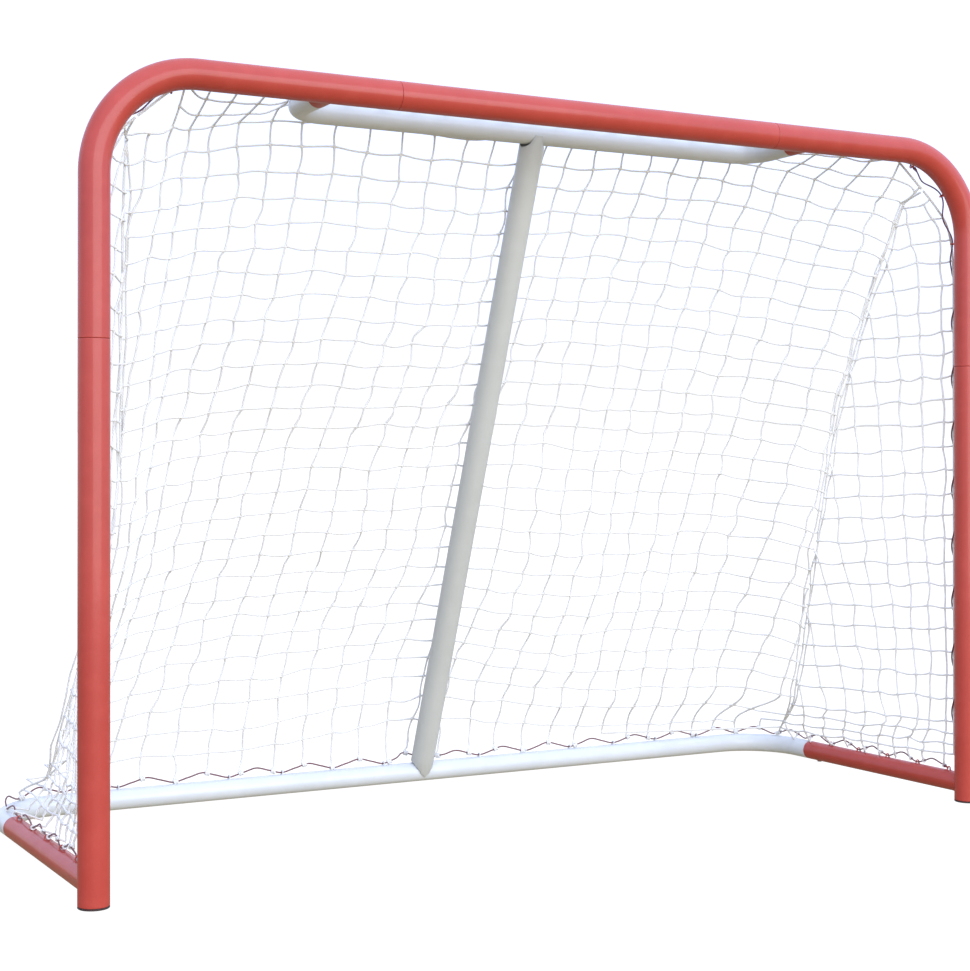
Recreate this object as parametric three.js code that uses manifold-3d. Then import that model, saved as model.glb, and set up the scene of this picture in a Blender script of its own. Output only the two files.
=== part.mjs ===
// Hockey goal: a knock-down frame of round steel tube with a knotted net laced to it.
// Millimetres, +Z up. +X runs along the crossbar, +Y runs from the mouth into the goal.
// The frame is described upright (posts vertical, feet on z = 0), then leaned back
// as a whole until the back bar rests on the floor too, which is how it stands.
import * as THREE from "three";
import { mergeVertices } from "three/addons/utils/BufferGeometryUtils.js";
import Module from "manifold-3d";

// ---------------------------------------------------------------- driving dimensions
const HEIGHT = 1180; // feet to the top of the crossbar
const POST_X = 800.5; // post axis from the middle
const FRONT_R = 22.2; // posts, corners and crossbar, outer radius
const BAR_R = 17.6; // base and upper bars, outer radius
const STRUT_R = 21.0; // sloping centre post, outer radius
const WALL = 1.5;
const CORNER_R = 150; // bend of the top corners, on the tube's axis
const POST_SEAM_Z = 780; // top of the lower posts
const SEAM_LEFT_X = -338; // crossbar joints
const SEAM_RIGHT_X = 363;
const BASE_Z = 31.8; // axis of the base frame
const BASE_DEPTH = 590; // axis of the back bar behind the post axis
const BASE_BACK_X = 796; // half width of the base frame at the back
const BASE_BEND_R = 110;
const STUB_Y = 437; // rear end of the red base tubes
const UPPER_LEFT_X = -441; // legs of the upper bar
const UPPER_RIGHT_X = 450;
const UPPER_DEPTH = 172;
const UPPER_DROP = 1.8; // the upper bar falls this much towards its rear
const UPPER_BEND_R = 55;
const UPPER_STUB_Y = 60;
const SPIGOT = 60; // push-in length of the tube joints
const UPPER_SPIGOT = 18;
const CORD_R = 1.5; // lacing cord
const CORD_LOW = 3; // cord axis above the tube where it passes a lacing loop
const CORD_HIGH = 15; // and at the top of its wave
const NET_T = 3; // stand-in thickness of the net panels
const GAP = 0.3; // clearance between pieces that touch
const SIDES = 12; // facets of a tube

const TOP_Z = HEIGHT - FRONT_R; // axis of the crossbar
const V = (x, y, z) => new THREE.Vector3(x, y, z);

// ---------------------------------------------------------------- materials
const steel = (color, roughness) =>
  new THREE.MeshStandardMaterial({ color, roughness, metalness: 0.1 });
const red = () => steel(0xcd5a55, 0.35);
const white = () => steel(0xf0f2f6, 0.4);
const grey = () => steel(0xd0d2ce, 0.45);
const rubber = () =>
  new THREE.MeshStandardMaterial({ color: 0x2a1716, roughness: 0.8 });
const zinc = () =>
  new THREE.MeshStandardMaterial({
    color: 0xb9bcc0,
    roughness: 0.35,
    metalness: 0.9,
  });
const cordRed = () =>
  new THREE.MeshStandardMaterial({ color: 0x8a3a40, roughness: 0.9 });
const netWhite = () =>
  new THREE.MeshStandardMaterial({ color: 0xf4f4f2, roughness: 0.95 });

// ---------------------------------------------------------------- solids
const wasm = await Module();
wasm.setup();

function solid(geometry) {
  const g = (geometry.index ? geometry.toNonIndexed() : geometry).clone();
  g.deleteAttribute("normal");
  g.deleteAttribute("uv");
  const m = mergeVertices(g, 1e-4);
  return new wasm.Manifold(
    new wasm.Mesh({
      numProp: 3,
      vertProperties: new Float32Array(m.attributes.position.array),
      triVerts: new Uint32Array(m.index.array),
    }),
  );
}

function geometryOf(manifold) {
  const m = manifold.getMesh();
  const pos = new Float32Array(m.numVert * 3);
  for (let i = 0; i < m.numVert; i++)
    for (let k = 0; k < 3; k++)
      pos[3 * i + k] = m.vertProperties[i * m.numProp + k];
  const g = new THREE.BufferGeometry();
  g.setAttribute("position", new THREE.BufferAttribute(pos, 3));
  g.setIndex(new THREE.BufferAttribute(new Uint32Array(m.triVerts), 1));
  g.computeVertexNormals();
  return g;
}

// A path through given stations, so that straights take one step and bends take several.
class Stations extends THREE.Curve {
  constructor(points) {
    super();
    this.points = points;
  }
  getPointAt(u, target = new THREE.Vector3()) {
    const n = this.points.length - 1;
    const i = Math.min(Math.floor(u * n + 1e-9), n - 1);
    return target.lerpVectors(this.points[i], this.points[i + 1], u * n - i);
  }
  getPoint(t, target) {
    return this.getPointAt(t, target);
  }
  getTangentAt(u, target = new THREE.Vector3()) {
    const n = this.points.length - 1;
    const i = Math.round(u * n);
    const a = this.points[Math.max(i - 1, 0)];
    const b = this.points[i];
    const c = this.points[Math.min(i + 1, n)];
    target.set(0, 0, 0);
    if (b !== a) target.add(b.clone().sub(a).normalize());
    if (c !== b) target.add(c.clone().sub(b).normalize());
    return target.normalize();
  }
  getTangent(t, target) {
    return this.getTangentAt(t, target);
  }
}

function circle(r, sides, turn = 0) {
  const pts = [];
  for (let i = 0; i < sides; i++) {
    const a = ((i + turn) / sides) * 2 * Math.PI;
    pts.push(new THREE.Vector2(r * Math.cos(a), r * Math.sin(a)));
  }
  return pts;
}

// Round tube or rod along stations; rIn = 0 makes a rod.
function sweep(points, rOut, rIn = 0, sides = SIDES, turn = 0) {
  const shape = new THREE.Shape(circle(rOut, sides, turn));
  if (rIn > 0)
    shape.holes.push(new THREE.Path(circle(rIn, sides, turn).reverse()));
  const g = new THREE.ExtrudeGeometry(shape, {
    steps: points.length - 1,
    extrudePath: new Stations(points),
    bevelEnabled: false,
  });
  const s = solid(g);
  return s;
}

// Corner points joined by round bends of radius r.
function filleted(corners, r, steps) {
  const out = [corners[0].clone()];
  for (let i = 1; i < corners.length - 1; i++) {
    const p = corners[i];
    const a = corners[i - 1].clone().sub(p).normalize();
    const b = corners[i + 1].clone().sub(p).normalize();
    const half = a.angleTo(b) / 2;
    const back = r / Math.tan(half);
    const centre = p.clone().addScaledVector(
      a.clone().add(b).normalize(),
      r / Math.sin(half),
    );
    const from = p.clone().addScaledVector(a, back).sub(centre);
    const to = p.clone().addScaledVector(b, back).sub(centre);
    const total = from.angleTo(to);
    for (let k = 0; k <= steps; k++) {
      const t = k / steps;
      out.push(
        from
          .clone()
          .multiplyScalar(Math.sin((1 - t) * total) / Math.sin(total))
          .addScaledVector(to, Math.sin(t * total) / Math.sin(total))
          .add(centre),
      );
    }
  }
  out.push(corners[corners.length - 1].clone());
  return out;
}

// Swaged end of a tube: a shoulder fused inside the tube's mouth and a neck that
// pushes into the next tube. at = the mouth, dir = out of it.
function spigot(at, dir, r, length) {
  const d = dir.clone().normalize();
  const p = (s) => at.clone().addScaledVector(d, s);
  const neck = r - WALL - 0.7;
  return sweep([p(-10), p(length)], neck, neck - WALL).add(
    sweep([p(-10), p(-0.4)], r - WALL / 2, neck - WALL),
  );
}

// A lacing loop: a small flat arch welded to the tube. at = point on the tube's axis,
// along = the tube's direction, out = the side the loop stands on.
function lacingLoop(at, along, out, r) {
  const side = new THREE.Vector3().crossVectors(along, out).normalize();
  const arch = new THREE.Shape(
    [
      [-4.6, r - 1.1],
      [-2.5, r - 1.1],
      [-2.5, r + 5.6],
      [2.5, r + 5.6],
      [2.5, r - 1.1],
      [4.6, r - 1.1],
      [4.6, r + 6.4],
      [3.2, r + 7.8],
      [-3.2, r + 7.8],
      [-4.6, r + 6.4],
    ].map(([x, y]) => new THREE.Vector2(x, y)),
  );
  const g = new THREE.ExtrudeGeometry(arch, {
    depth: 2.4,
    bevelEnabled: false,
  });
  g.translate(0, 0, -1.2);
  const m = new THREE.Matrix4().makeBasis(
    side,
    out.clone().normalize(),
    new THREE.Vector3().crossVectors(side, out).normalize(),
  );
  m.setPosition(at);
  g.applyMatrix4(m);
  return solid(g);
}

function rod(a, b, r, sides = SIDES) {
  const d = b.clone().sub(a);
  const g = new THREE.CylinderGeometry(r, r, d.length(), sides);
  g.applyQuaternion(
    new THREE.Quaternion().setFromUnitVectors(
      V(0, 1, 0),
      d.clone().normalize(),
    ),
  );
  const mid = a.clone().add(b).multiplyScalar(0.5);
  g.translate(mid.x, mid.y, mid.z);
  return solid(g);
}

const frame = new THREE.Group(); // the goal as described upright
function add(name, geometry, material) {
  const mesh = new THREE.Mesh(
    geometry.isBufferGeometry ? geometry : geometryOf(geometry),
    material,
  );
  mesh.name = name;
  frame.add(mesh);
  return mesh;
}

// ---------------------------------------------------------------- the lacing's wave
const PERIOD = 100.7;
// Stations of a cord that waves above a tube. line(s) gives {p, t, out} at distance s:
// the tube's axis, its direction and the side the cord stands on.
function laced(line, s0, s1, peak, r, high = CORD_HIGH, period = PERIOD) {
  const quarter = period / 4;
  const first = Math.ceil((s0 - peak) / quarter);
  const last = Math.floor((s1 - peak) / quarter);
  const pts = [];
  for (let q = first; q <= last; q++) {
    const s = peak + q * quarter;
    const f = line(s);
    const wave = (1 + Math.cos((q * Math.PI) / 2)) / 2;
    pts.push(
      f.p
        .clone()
        .addScaledVector(f.out, r + CORD_LOW + (high - CORD_LOW) * wave),
    );
  }
  return pts;
}
// Distances at which the cord is down on the tube, where a lacing loop holds it.
function lows(s0, s1, peak, period = PERIOD) {
  const out = [];
  for (
    let s = peak + period / 2 + period * Math.ceil((s0 - peak) / period - 0.5);
    s <= s1;
    s += period
  )
    if (s >= s0) out.push(s);
  return out;
}

// ---------------------------------------------------------------- front frame
const rear = V(0, 1, 0);
const up = V(0, 0, 1);
const CAP_LIP = 3;

// distance along each post, from the floor up and round the corner
function postLine(side) {
  return (s) => {
    const straight = TOP_Z - CORNER_R;
    if (s <= straight)
      return { p: V(side * POST_X, 0, s), t: up.clone(), out: rear };
    const a = (s - straight) / CORNER_R;
    return {
      p: V(
        side * (POST_X - CORNER_R + CORNER_R * Math.cos(a)),
        0,
        straight + CORNER_R * Math.sin(a),
      ),
      t: V(-side * Math.sin(a), 0, Math.cos(a)),
      out: rear,
    };
  };
}
const POST_PEAK = 750; // the wave is high over the joint screw
const POST_S0 = 100;
const POST_S1 = TOP_Z - CORNER_R + CORNER_R * 1.32;

const CROSS_OUT = V(
  0,
  Math.cos((38.5 * Math.PI) / 180),
  Math.sin((38.5 * Math.PI) / 180),
);
const crossLine = (s) => ({ p: V(s, 0, TOP_Z), t: V(1, 0, 0), out: CROSS_OUT });
const CROSS_PERIOD = (UPPER_RIGHT_X - UPPER_LEFT_X) / 9;
const CROSS_S = POST_X - CORNER_R - 12;
const CROSS_HIGH = 11;

for (const [label, side, seam] of [
  ["left", -1, SEAM_LEFT_X],
  ["right", 1, SEAM_RIGHT_X],
]) {
  const x = side * POST_X;
  const line = postLine(side);
  const loops = lows(POST_S0, POST_S1, POST_PEAK);

  // lower post
  let post = sweep(
    [V(x, 0, CAP_LIP + GAP), V(x, 0, POST_SEAM_Z - GAP / 2)],
    FRONT_R,
    FRONT_R - WALL,
  );
  for (const s of loops.filter((v) => v < POST_SEAM_Z - 8)) {
    const f = line(s);
    post = post.add(lacingLoop(f.p, f.t, f.out, FRONT_R));
  }
  const screwZ = POST_SEAM_Z - SPIGOT / 2;
  const screwHole = rod(V(x, 4, screwZ), V(x, 40, screwZ), 3.4, 12);
  post = post.subtract(screwHole);
  add(label + "_lower_post", post, red());

  // top corner, with a swaged neck at each end
  const corner = V(x, 0, TOP_Z);
  const seamX = seam + side * (GAP / 2);
  const bend = filleted(
    [V(x, 0, POST_SEAM_Z + GAP / 2), corner, V(seamX, 0, TOP_Z)],
    CORNER_R,
    8,
  );
  let elbow = sweep(bend, FRONT_R, FRONT_R - WALL);
  elbow = elbow
    .add(spigot(V(x, 0, POST_SEAM_Z + GAP / 2), V(0, 0, -1), FRONT_R, SPIGOT))
    .add(spigot(V(seamX, 0, TOP_Z), V(-side, 0, 0), FRONT_R, SPIGOT));
  for (const s of loops.filter((v) => v > POST_SEAM_Z + 8)) {
    const f = line(s);
    elbow = elbow.add(lacingLoop(f.p, f.t, f.out, FRONT_R));
  }
  const crossLoops = lows(-CROSS_S, CROSS_S, UPPER_LEFT_X, CROSS_PERIOD);
  for (const s of crossLoops.filter((v) =>
    side < 0 ? v < seam - 8 : v > seam + 8,
  )) {
    const f = crossLine(s);
    elbow = elbow.add(lacingLoop(f.p, f.t, f.out, FRONT_R));
  }
  const crossScrewX = seam - side * (SPIGOT / 2);
  elbow = elbow
    .subtract(screwHole)
    .subtract(rod(V(crossScrewX, 4, TOP_Z), V(crossScrewX, 40, TOP_Z), 3.4, 12));
  add(label + "_corner_elbow", elbow, red());

  // foot cap: a plug with a lip under the tube
  const cap = new THREE.LatheGeometry(
    [
      [0, 0],
      [21.5, 0],
      [FRONT_R, 0.7],
      [FRONT_R, CAP_LIP],
      [19.7, CAP_LIP],
      [19.7, 17],
      [18.9, 18],
      [0, 18],
    ].map(([a, b]) => new THREE.Vector2(a, b)),
    SIDES,
  );
  cap.rotateX(Math.PI / 2);
  const foot = add(label + "_foot_cap", geometryOf(solid(cap)), rubber());
  foot.position.set(x, 0, 0);

  // cord that laces the net's edge to the post and round the corner
  add(
    label + "_post_lacing",
    sweep(laced(line, POST_S0, POST_S1, POST_PEAK, FRONT_R), CORD_R, 0, 6),
    cordRed(),
  );
}

let crossbar = sweep(
  [
    V(SEAM_LEFT_X + GAP / 2, 0, TOP_Z),
    V(SEAM_RIGHT_X - GAP / 2, 0, TOP_Z),
  ],
  FRONT_R,
  FRONT_R - WALL,
);
for (const s of lows(SEAM_LEFT_X + 8, SEAM_RIGHT_X - 8, UPPER_LEFT_X, CROSS_PERIOD)) {
  const f = crossLine(s);
  crossbar = crossbar.add(lacingLoop(f.p, f.t, f.out, FRONT_R));
}
for (const x of [SEAM_LEFT_X + SPIGOT / 2, SEAM_RIGHT_X - SPIGOT / 2])
  crossbar = crossbar.subtract(rod(V(x, 4, TOP_Z), V(x, 40, TOP_Z), 3.4, 12));
add("crossbar_centre", crossbar, red());
add(
  "crossbar_lacing",
  sweep(
    laced(
      crossLine,
      -CROSS_S,
      CROSS_S,
      UPPER_LEFT_X,
      FRONT_R,
      CROSS_HIGH,
      CROSS_PERIOD,
    ),
    CORD_R,
    0,
    6,
  ),
  cordRed(),
);

// ---------------------------------------------------------------- base frame
const baseCorners = [
  V(-POST_X, 0, BASE_Z),
  V(-BASE_BACK_X, BASE_DEPTH, BASE_Z),
  V(BASE_BACK_X, BASE_DEPTH, BASE_Z),
  V(POST_X, 0, BASE_Z),
];
const sideDir = (side) =>
  V(side * (BASE_BACK_X - POST_X), BASE_DEPTH, 0).normalize();
const onSide = (side, y) =>
  V(side * (POST_X + ((BASE_BACK_X - POST_X) * y) / BASE_DEPTH), y, BASE_Z);

const sideLine = (side) => (y) => ({
  p: onSide(side, y),
  t: sideDir(side),
  out: up,
});
const backLine = (x) => ({
  p: V(x, BASE_DEPTH, BASE_Z),
  t: V(1, 0, 0),
  out: up,
});
const SIDE_PERIOD = 81.6;
const SIDE_PEAK = { "-1": 119, 1: 87 };
const BACK_PEAK = -26;

for (const [label, side, endY] of [
  ["left", -1, STUB_Y],
  ["right", 1, STUB_Y],
]) {
  const x = side * POST_X;
  let tube = sweep(
    [onSide(side, -4), onSide(side, endY - GAP / 2)],
    BAR_R,
    BAR_R - WALL,
  );
  // shaped to the post it is welded to
  tube = tube.subtract(
    rod(V(x, 0, -60), V(x, 0, 140), (FRONT_R + GAP) / Math.cos(Math.PI / SIDES)),
  );
  tube = tube
    .decompose()
    .reduce((a, b) => (b.volume() > a.volume() ? b : a));
  for (const y of lows(45, endY - 8, SIDE_PEAK[side], SIDE_PERIOD)) {
    const f = sideLine(side)(y);
    tube = tube.add(lacingLoop(f.p, f.t, f.out, BAR_R));
  }
  const sy = endY - SPIGOT / 2;
  const c = onSide(side, sy);
  tube = tube.subtract(rod(c, V(c.x, c.y, -20), 3.0, 12));
  add(label + "_base_tube", tube, red());
}

let backBar = sweep(
  [
    onSide(-1, STUB_Y + GAP / 2),
    ...filleted(baseCorners, BASE_BEND_R, 7).slice(1, -1),
    onSide(1, STUB_Y + GAP / 2),
  ].filter((p, i, a) => i === 0 || p.distanceTo(a[i - 1]) > 1.5),
  BAR_R,
  BAR_R - WALL,
);
for (const [side, endY] of [
  [-1, STUB_Y],
  [1, STUB_Y],
]) {
  backBar = backBar.add(
    spigot(
      onSide(side, endY + GAP / 2),
      sideDir(side).negate(),
      BAR_R,
      SPIGOT,
    ),
  );
  const c = onSide(side, endY - SPIGOT / 2);
  backBar = backBar.subtract(rod(c, V(c.x, c.y, -20), 3.0, 12));
}
const BACK_S = BASE_BACK_X - BASE_BEND_R - 6;
for (const x of lows(-BACK_S, BACK_S, BACK_PEAK).filter((v) => Math.abs(v) > 40))
  backBar = backBar.add(lacingLoop(backLine(x).p, V(1, 0, 0), up, BAR_R));

// the base lacing: one cord from the left post round the back to the right post
// Round a bend: quarter waves from the cord's peak or low at y0 on the side tube
// to its peak at x0 on the back bar, both ends left out.
function bendWave(side, y0, x0, quarters, low) {
  const straight = BASE_DEPTH - BASE_BEND_R - y0;
  const arc = (BASE_BEND_R * Math.PI) / 2;
  const total = straight + arc + (BASE_BACK_X - BASE_BEND_R - x0);
  const pts = [];
  for (let q = 1; q < quarters; q++) {
    const s = (total * q) / quarters;
    const wave = (1 + Math.cos((q * Math.PI) / 2 + (low ? Math.PI : 0))) / 2;
    const h = BASE_Z + BAR_R + CORD_LOW + (CORD_HIGH - CORD_LOW) * wave;
    if (s < straight) {
      const p = onSide(side, y0 + s);
      pts.push(V(p.x, p.y, h));
    } else if (s < straight + arc) {
      const a = (s - straight) / BASE_BEND_R;
      pts.push(
        V(
          side * (BASE_BACK_X - BASE_BEND_R + BASE_BEND_R * Math.cos(a)),
          BASE_DEPTH - BASE_BEND_R + BASE_BEND_R * Math.sin(a),
          h,
        ),
      );
    } else
      pts.push(
        V(side * (BASE_BACK_X - BASE_BEND_R - (s - straight - arc)), BASE_DEPTH, h),
      );
  }
  return pts;
}
const LEFT_LAST = SIDE_PEAK[-1] + 4 * SIDE_PERIOD; // a peak
const RIGHT_LAST = SIDE_PEAK[1] + 4.5 * SIDE_PERIOD; // a low
const BACK_LEFT = BACK_PEAK - 6 * PERIOD; // both peaks
const BACK_RIGHT = BACK_PEAK + 7 * PERIOD;
function baseLacing() {
  const pts = [
    ...laced(sideLine(-1), 48, LEFT_LAST + 1, SIDE_PEAK[-1], BAR_R, CORD_HIGH, SIDE_PERIOD),
    ...bendWave(-1, LEFT_LAST, -BACK_LEFT, 12, false),
  ];
  // along the back bar, and behind the foot of the centre post
  for (const p of laced(backLine, BACK_LEFT - 1, BACK_RIGHT + 1, BACK_PEAK, BAR_R)) {
    if (Math.abs(p.x) < 60) p.y += Math.abs(p.x) < 30 ? 23 : 4;
    pts.push(p);
  }
  pts.push(...bendWave(1, RIGHT_LAST, BACK_RIGHT, 10, true).reverse());
  pts.push(
    ...laced(sideLine(1), 40, RIGHT_LAST + 1, SIDE_PEAK[1], BAR_R, CORD_HIGH, SIDE_PERIOD).reverse(),
  );
  return pts;
}
add("base_lacing", sweep(baseLacing(), CORD_R, 0, 6), cordRed());

// ---------------------------------------------------------------- upper bar
const upperZ = (y) => TOP_Z - (UPPER_DROP * y) / UPPER_DEPTH;
const U = (x, y) => V(x, y, upperZ(y));
const legDir = U(0, 1).sub(U(0, 0)).normalize();
for (const [label, side, x] of [
  ["left", -1, UPPER_LEFT_X],
  ["right", 1, UPPER_RIGHT_X],
]) {
  let stub = sweep([U(x, 4), U(x, UPPER_STUB_Y - GAP / 2)], BAR_R, BAR_R - WALL);
  stub = stub.subtract(
    rod(
      V(x - 60, 0, TOP_Z),
      V(x + 60, 0, TOP_Z),
      (FRONT_R + GAP) / Math.cos(Math.PI / SIDES),
    ),
  );
  stub = stub
    .decompose()
    .reduce((a, b) => (b.volume() > a.volume() ? b : a));
  const c = U(x, 36);
  stub = stub.subtract(rod(c, V(c.x, c.y, c.z + 40), 2.2, 10));
  add(label + "_upper_stub", stub, red());
}
let upperBar = sweep(
  [
    U(UPPER_LEFT_X, UPPER_STUB_Y + GAP / 2),
    ...filleted(
      [
        U(UPPER_LEFT_X, UPPER_STUB_Y),
        U(UPPER_LEFT_X, UPPER_DEPTH),
        U(UPPER_RIGHT_X, UPPER_DEPTH),
        U(UPPER_RIGHT_X, UPPER_STUB_Y),
      ],
      UPPER_BEND_R,
      6,
    ).slice(1, -1),
    U(UPPER_RIGHT_X, UPPER_STUB_Y + GAP / 2),
  ],
  BAR_R,
  BAR_R - WALL,
);
for (const x of [UPPER_LEFT_X, UPPER_RIGHT_X]) {
  upperBar = upperBar.add(
    spigot(
      U(x, UPPER_STUB_Y + GAP / 2),
      legDir.clone().negate(),
      BAR_R,
      UPPER_SPIGOT,
    ),
  );
  const c = U(x, 36);
  upperBar = upperBar.subtract(rod(c, V(c.x, c.y, c.z + 40), 2.2, 10));
}

// ---------------------------------------------------------------- centre post
const strutTop = U(0, UPPER_DEPTH);
const strutFoot = V(0, BASE_DEPTH, BASE_Z);
const strutDir = strutFoot.clone().sub(strutTop).normalize();
// Both ends are cut to a point front and rear, and the bar passes between the two lips.
// tip = how far the lips run past the bar's axis; the flanks fall at slope from ridge, and
// at brow beyond the knee, where they follow the bar's underside.
const STRUT_CUTS = [
  {
    at: strutTop,
    out: strutDir.clone().negate(),
    tip: 1.6,
    ridge: 17.6,
    slope: 2.45,
    knee: 13.1,
    brow: 1.17,
  },
  {
    at: strutFoot,
    out: strutDir,
    tip: 2.1,
    ridge: 2.1,
    slope: 1.13,
    knee: 20,
    brow: 1.13,
  },
];
let strut = sweep(
  STRUT_CUTS.map((c) => c.at.clone().addScaledVector(c.out, c.tip)),
  STRUT_R,
  STRUT_R - WALL,
  24,
);
for (const c of STRUT_CUTS) {
  const bend = c.ridge - c.knee * c.slope;
  const low = bend - (60 - c.knee) * c.brow;
  const flank = new THREE.Shape(
    [
      [-60, low],
      [-c.knee, bend],
      [0, c.ridge],
      [c.knee, bend],
      [60, low],
      [60, 60],
      [-60, 60],
    ].map(([x, y]) => new THREE.Vector2(x, y)),
  );
  const g = new THREE.ExtrudeGeometry(flank, { depth: 80, bevelEnabled: false });
  g.translate(0, 0, -40);
  const m = new THREE.Matrix4().makeBasis(
    V(1, 0, 0),
    c.out,
    new THREE.Vector3().crossVectors(V(1, 0, 0), c.out),
  );
  m.setPosition(c.at);
  g.applyMatrix4(m);
  strut = strut.subtract(solid(g));
}
const strutRear = new THREE.Vector3()
  .crossVectors(V(1, 0, 0), strutDir)
  .normalize();
if (strutRear.y < 0) strutRear.negate();
const footScrewAt = strutFoot.clone().addScaledVector(strutDir, -7);
const strutScrews = [strutTop, footScrewAt];
for (const p of strutScrews) {
  const hole = rod(
    p.clone().addScaledVector(strutRear, 6),
    p.clone().addScaledVector(strutRear, 40),
    2.2,
    10,
  );
  strut = strut.subtract(hole);
  if (p === strutTop) upperBar = upperBar.subtract(hole);
  else backBar = backBar.subtract(hole);
}
add("centre_post", strut, grey());
add("base_back_bar", backBar, white());
add("upper_back_bar", upperBar, white());

// ---------------------------------------------------------------- screws
// A domed screw: its head's underside at the origin, its shank along -Z.
function screw(headR, headH, shankR, length) {
  return new THREE.LatheGeometry(
    [
      [0, -length],
      [shankR * 0.7, -length],
      [shankR, -length + shankR * 0.6],
      [shankR, 0],
      [headR, 0],
      [headR * 0.9, headH * 0.62],
      [headR * 0.5, headH * 0.95],
      [0, headH],
    ].map(([a, b]) => new THREE.Vector2(a, b)),
    10,
  ).rotateX(Math.PI / 2);
}
function addScrew(name, surface, out, geometry) {
  const s = add(name, geometryOf(solid(geometry)), zinc());
  s.position.copy(surface.clone().addScaledVector(out, GAP));
  s.quaternion.setFromUnitVectors(V(0, 0, 1), out.clone().normalize());
}
const bolt = () => screw(5.4, 3, 2.9, 7);
const small = () => screw(4.4, 1.0, 1.8, 5);
const baseBolt = () => screw(4.8, 2.0, 2.5, 6);
addScrew(
  "left_post_screw",
  V(-POST_X, FRONT_R, POST_SEAM_Z - SPIGOT / 2),
  rear,
  bolt(),
);
addScrew(
  "right_post_screw",
  V(POST_X, FRONT_R, POST_SEAM_Z - SPIGOT / 2),
  rear,
  bolt(),
);
addScrew(
  "crossbar_left_screw",
  V(SEAM_LEFT_X + SPIGOT / 2, FRONT_R, TOP_Z),
  rear,
  bolt(),
);
addScrew(
  "crossbar_right_screw",
  V(SEAM_RIGHT_X - SPIGOT / 2, FRONT_R, TOP_Z),
  rear,
  bolt(),
);
for (const [label, side, endY] of [
  ["left", -1, STUB_Y],
  ["right", 1, STUB_Y],
]) {
  const c = onSide(side, endY - SPIGOT / 2);
  addScrew(
    label + "_base_screw",
    V(c.x, c.y, BASE_Z - BAR_R),
    V(0, 0, -1),
    baseBolt(),
  );
}
for (const [label, x] of [
  ["left", UPPER_LEFT_X],
  ["right", UPPER_RIGHT_X],
]) {
  const c = U(x, 36);
  addScrew(
    label + "_upper_screw",
    V(c.x, c.y, c.z + BAR_R + 0.1),
    up,
    small(),
  );
}
addScrew(
  "centre_post_top_screw",
  strutTop.clone().addScaledVector(strutRear, STRUT_R),
  strutRear,
  small(),
);
addScrew(
  "centre_post_foot_screw",
  footScrewAt.clone().addScaledVector(strutRear, STRUT_R),
  strutRear,
  screw(4.4, 1.0, 1.8, 6.6),
);

// ---------------------------------------------------------------- net panels
// A closed sheet between two edges, each a list of points: rows run from a to b.
function sheet(a, b, rows, normal) {
  const n = a.length;
  const pos = [];
  const idx = [];
  for (const s of [NET_T / 2, -NET_T / 2])
    for (let j = 0; j <= rows; j++)
      for (let i = 0; i < n; i++) {
        const p = a[i].clone().lerp(b[i], j / rows);
        const q = p.addScaledVector(normal(p, i / (n - 1), j / rows), s);
        pos.push(q.x, q.y, q.z);
      }
  const layer = n * (rows + 1);
  const at = (k, j, i) => k * layer + j * n + i;
  for (let j = 0; j < rows; j++)
    for (let i = 0; i < n - 1; i++) {
      idx.push(at(0, j, i), at(0, j, i + 1), at(0, j + 1, i + 1));
      idx.push(at(0, j, i), at(0, j + 1, i + 1), at(0, j + 1, i));
      idx.push(at(1, j, i), at(1, j + 1, i + 1), at(1, j, i + 1));
      idx.push(at(1, j, i), at(1, j + 1, i), at(1, j + 1, i + 1));
    }
  const wall = (p, q) => {
    idx.push(p[0], p[1], q[1], p[0], q[1], q[0]);
  };
  for (let i = 0; i < n - 1; i++) {
    wall([at(1, 0, i), at(1, 0, i + 1)], [at(0, 0, i), at(0, 0, i + 1)]);
    wall([at(0, rows, i), at(0, rows, i + 1)], [at(1, rows, i), at(1, rows, i + 1)]);
  }
  for (let j = 0; j < rows; j++) {
    wall([at(0, j, 0), at(0, j + 1, 0)], [at(1, j, 0), at(1, j + 1, 0)]);
    wall([at(1, j, n - 1), at(1, j + 1, n - 1)], [at(0, j, n - 1), at(0, j + 1, n - 1)]);
  }
  const g = new THREE.BufferGeometry();
  g.setAttribute("position", new THREE.Float32BufferAttribute(pos, 3));
  g.setIndex(idx);
  const s = solid(g);
  if (s.volume() > 0) return s;
  for (let i = 0; i < idx.length; i += 3)
    [idx[i + 1], idx[i + 2]] = [idx[i + 2], idx[i + 1]];
  g.setIndex(idx);
  return solid(g);
}

const HEM_Z = BASE_Z + BAR_R + CORD_HIGH + CORD_R + 3; // the net's lower edge
const EDGE_Y = FRONT_R + CORD_HIGH + CORD_R + 2.5; // its front edge behind the posts
const SHOULDER = { x: 754, y: 44, z: 1106 }; // where back, side and roof meet
const along = (pts, n) => {
  const d = [0];
  for (let i = 1; i < pts.length; i++)
    d.push(d[i - 1] + pts[i].distanceTo(pts[i - 1]));
  return Array.from({ length: n + 1 }, (_, k) => {
    const s = (k / n) * d[d.length - 1];
    let i = 1;
    while (i < pts.length - 1 && d[i] < s) i++;
    return pts[i - 1]
      .clone()
      .lerp(pts[i], (s - d[i - 1]) / (d[i] - d[i - 1]));
  });
};

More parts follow.
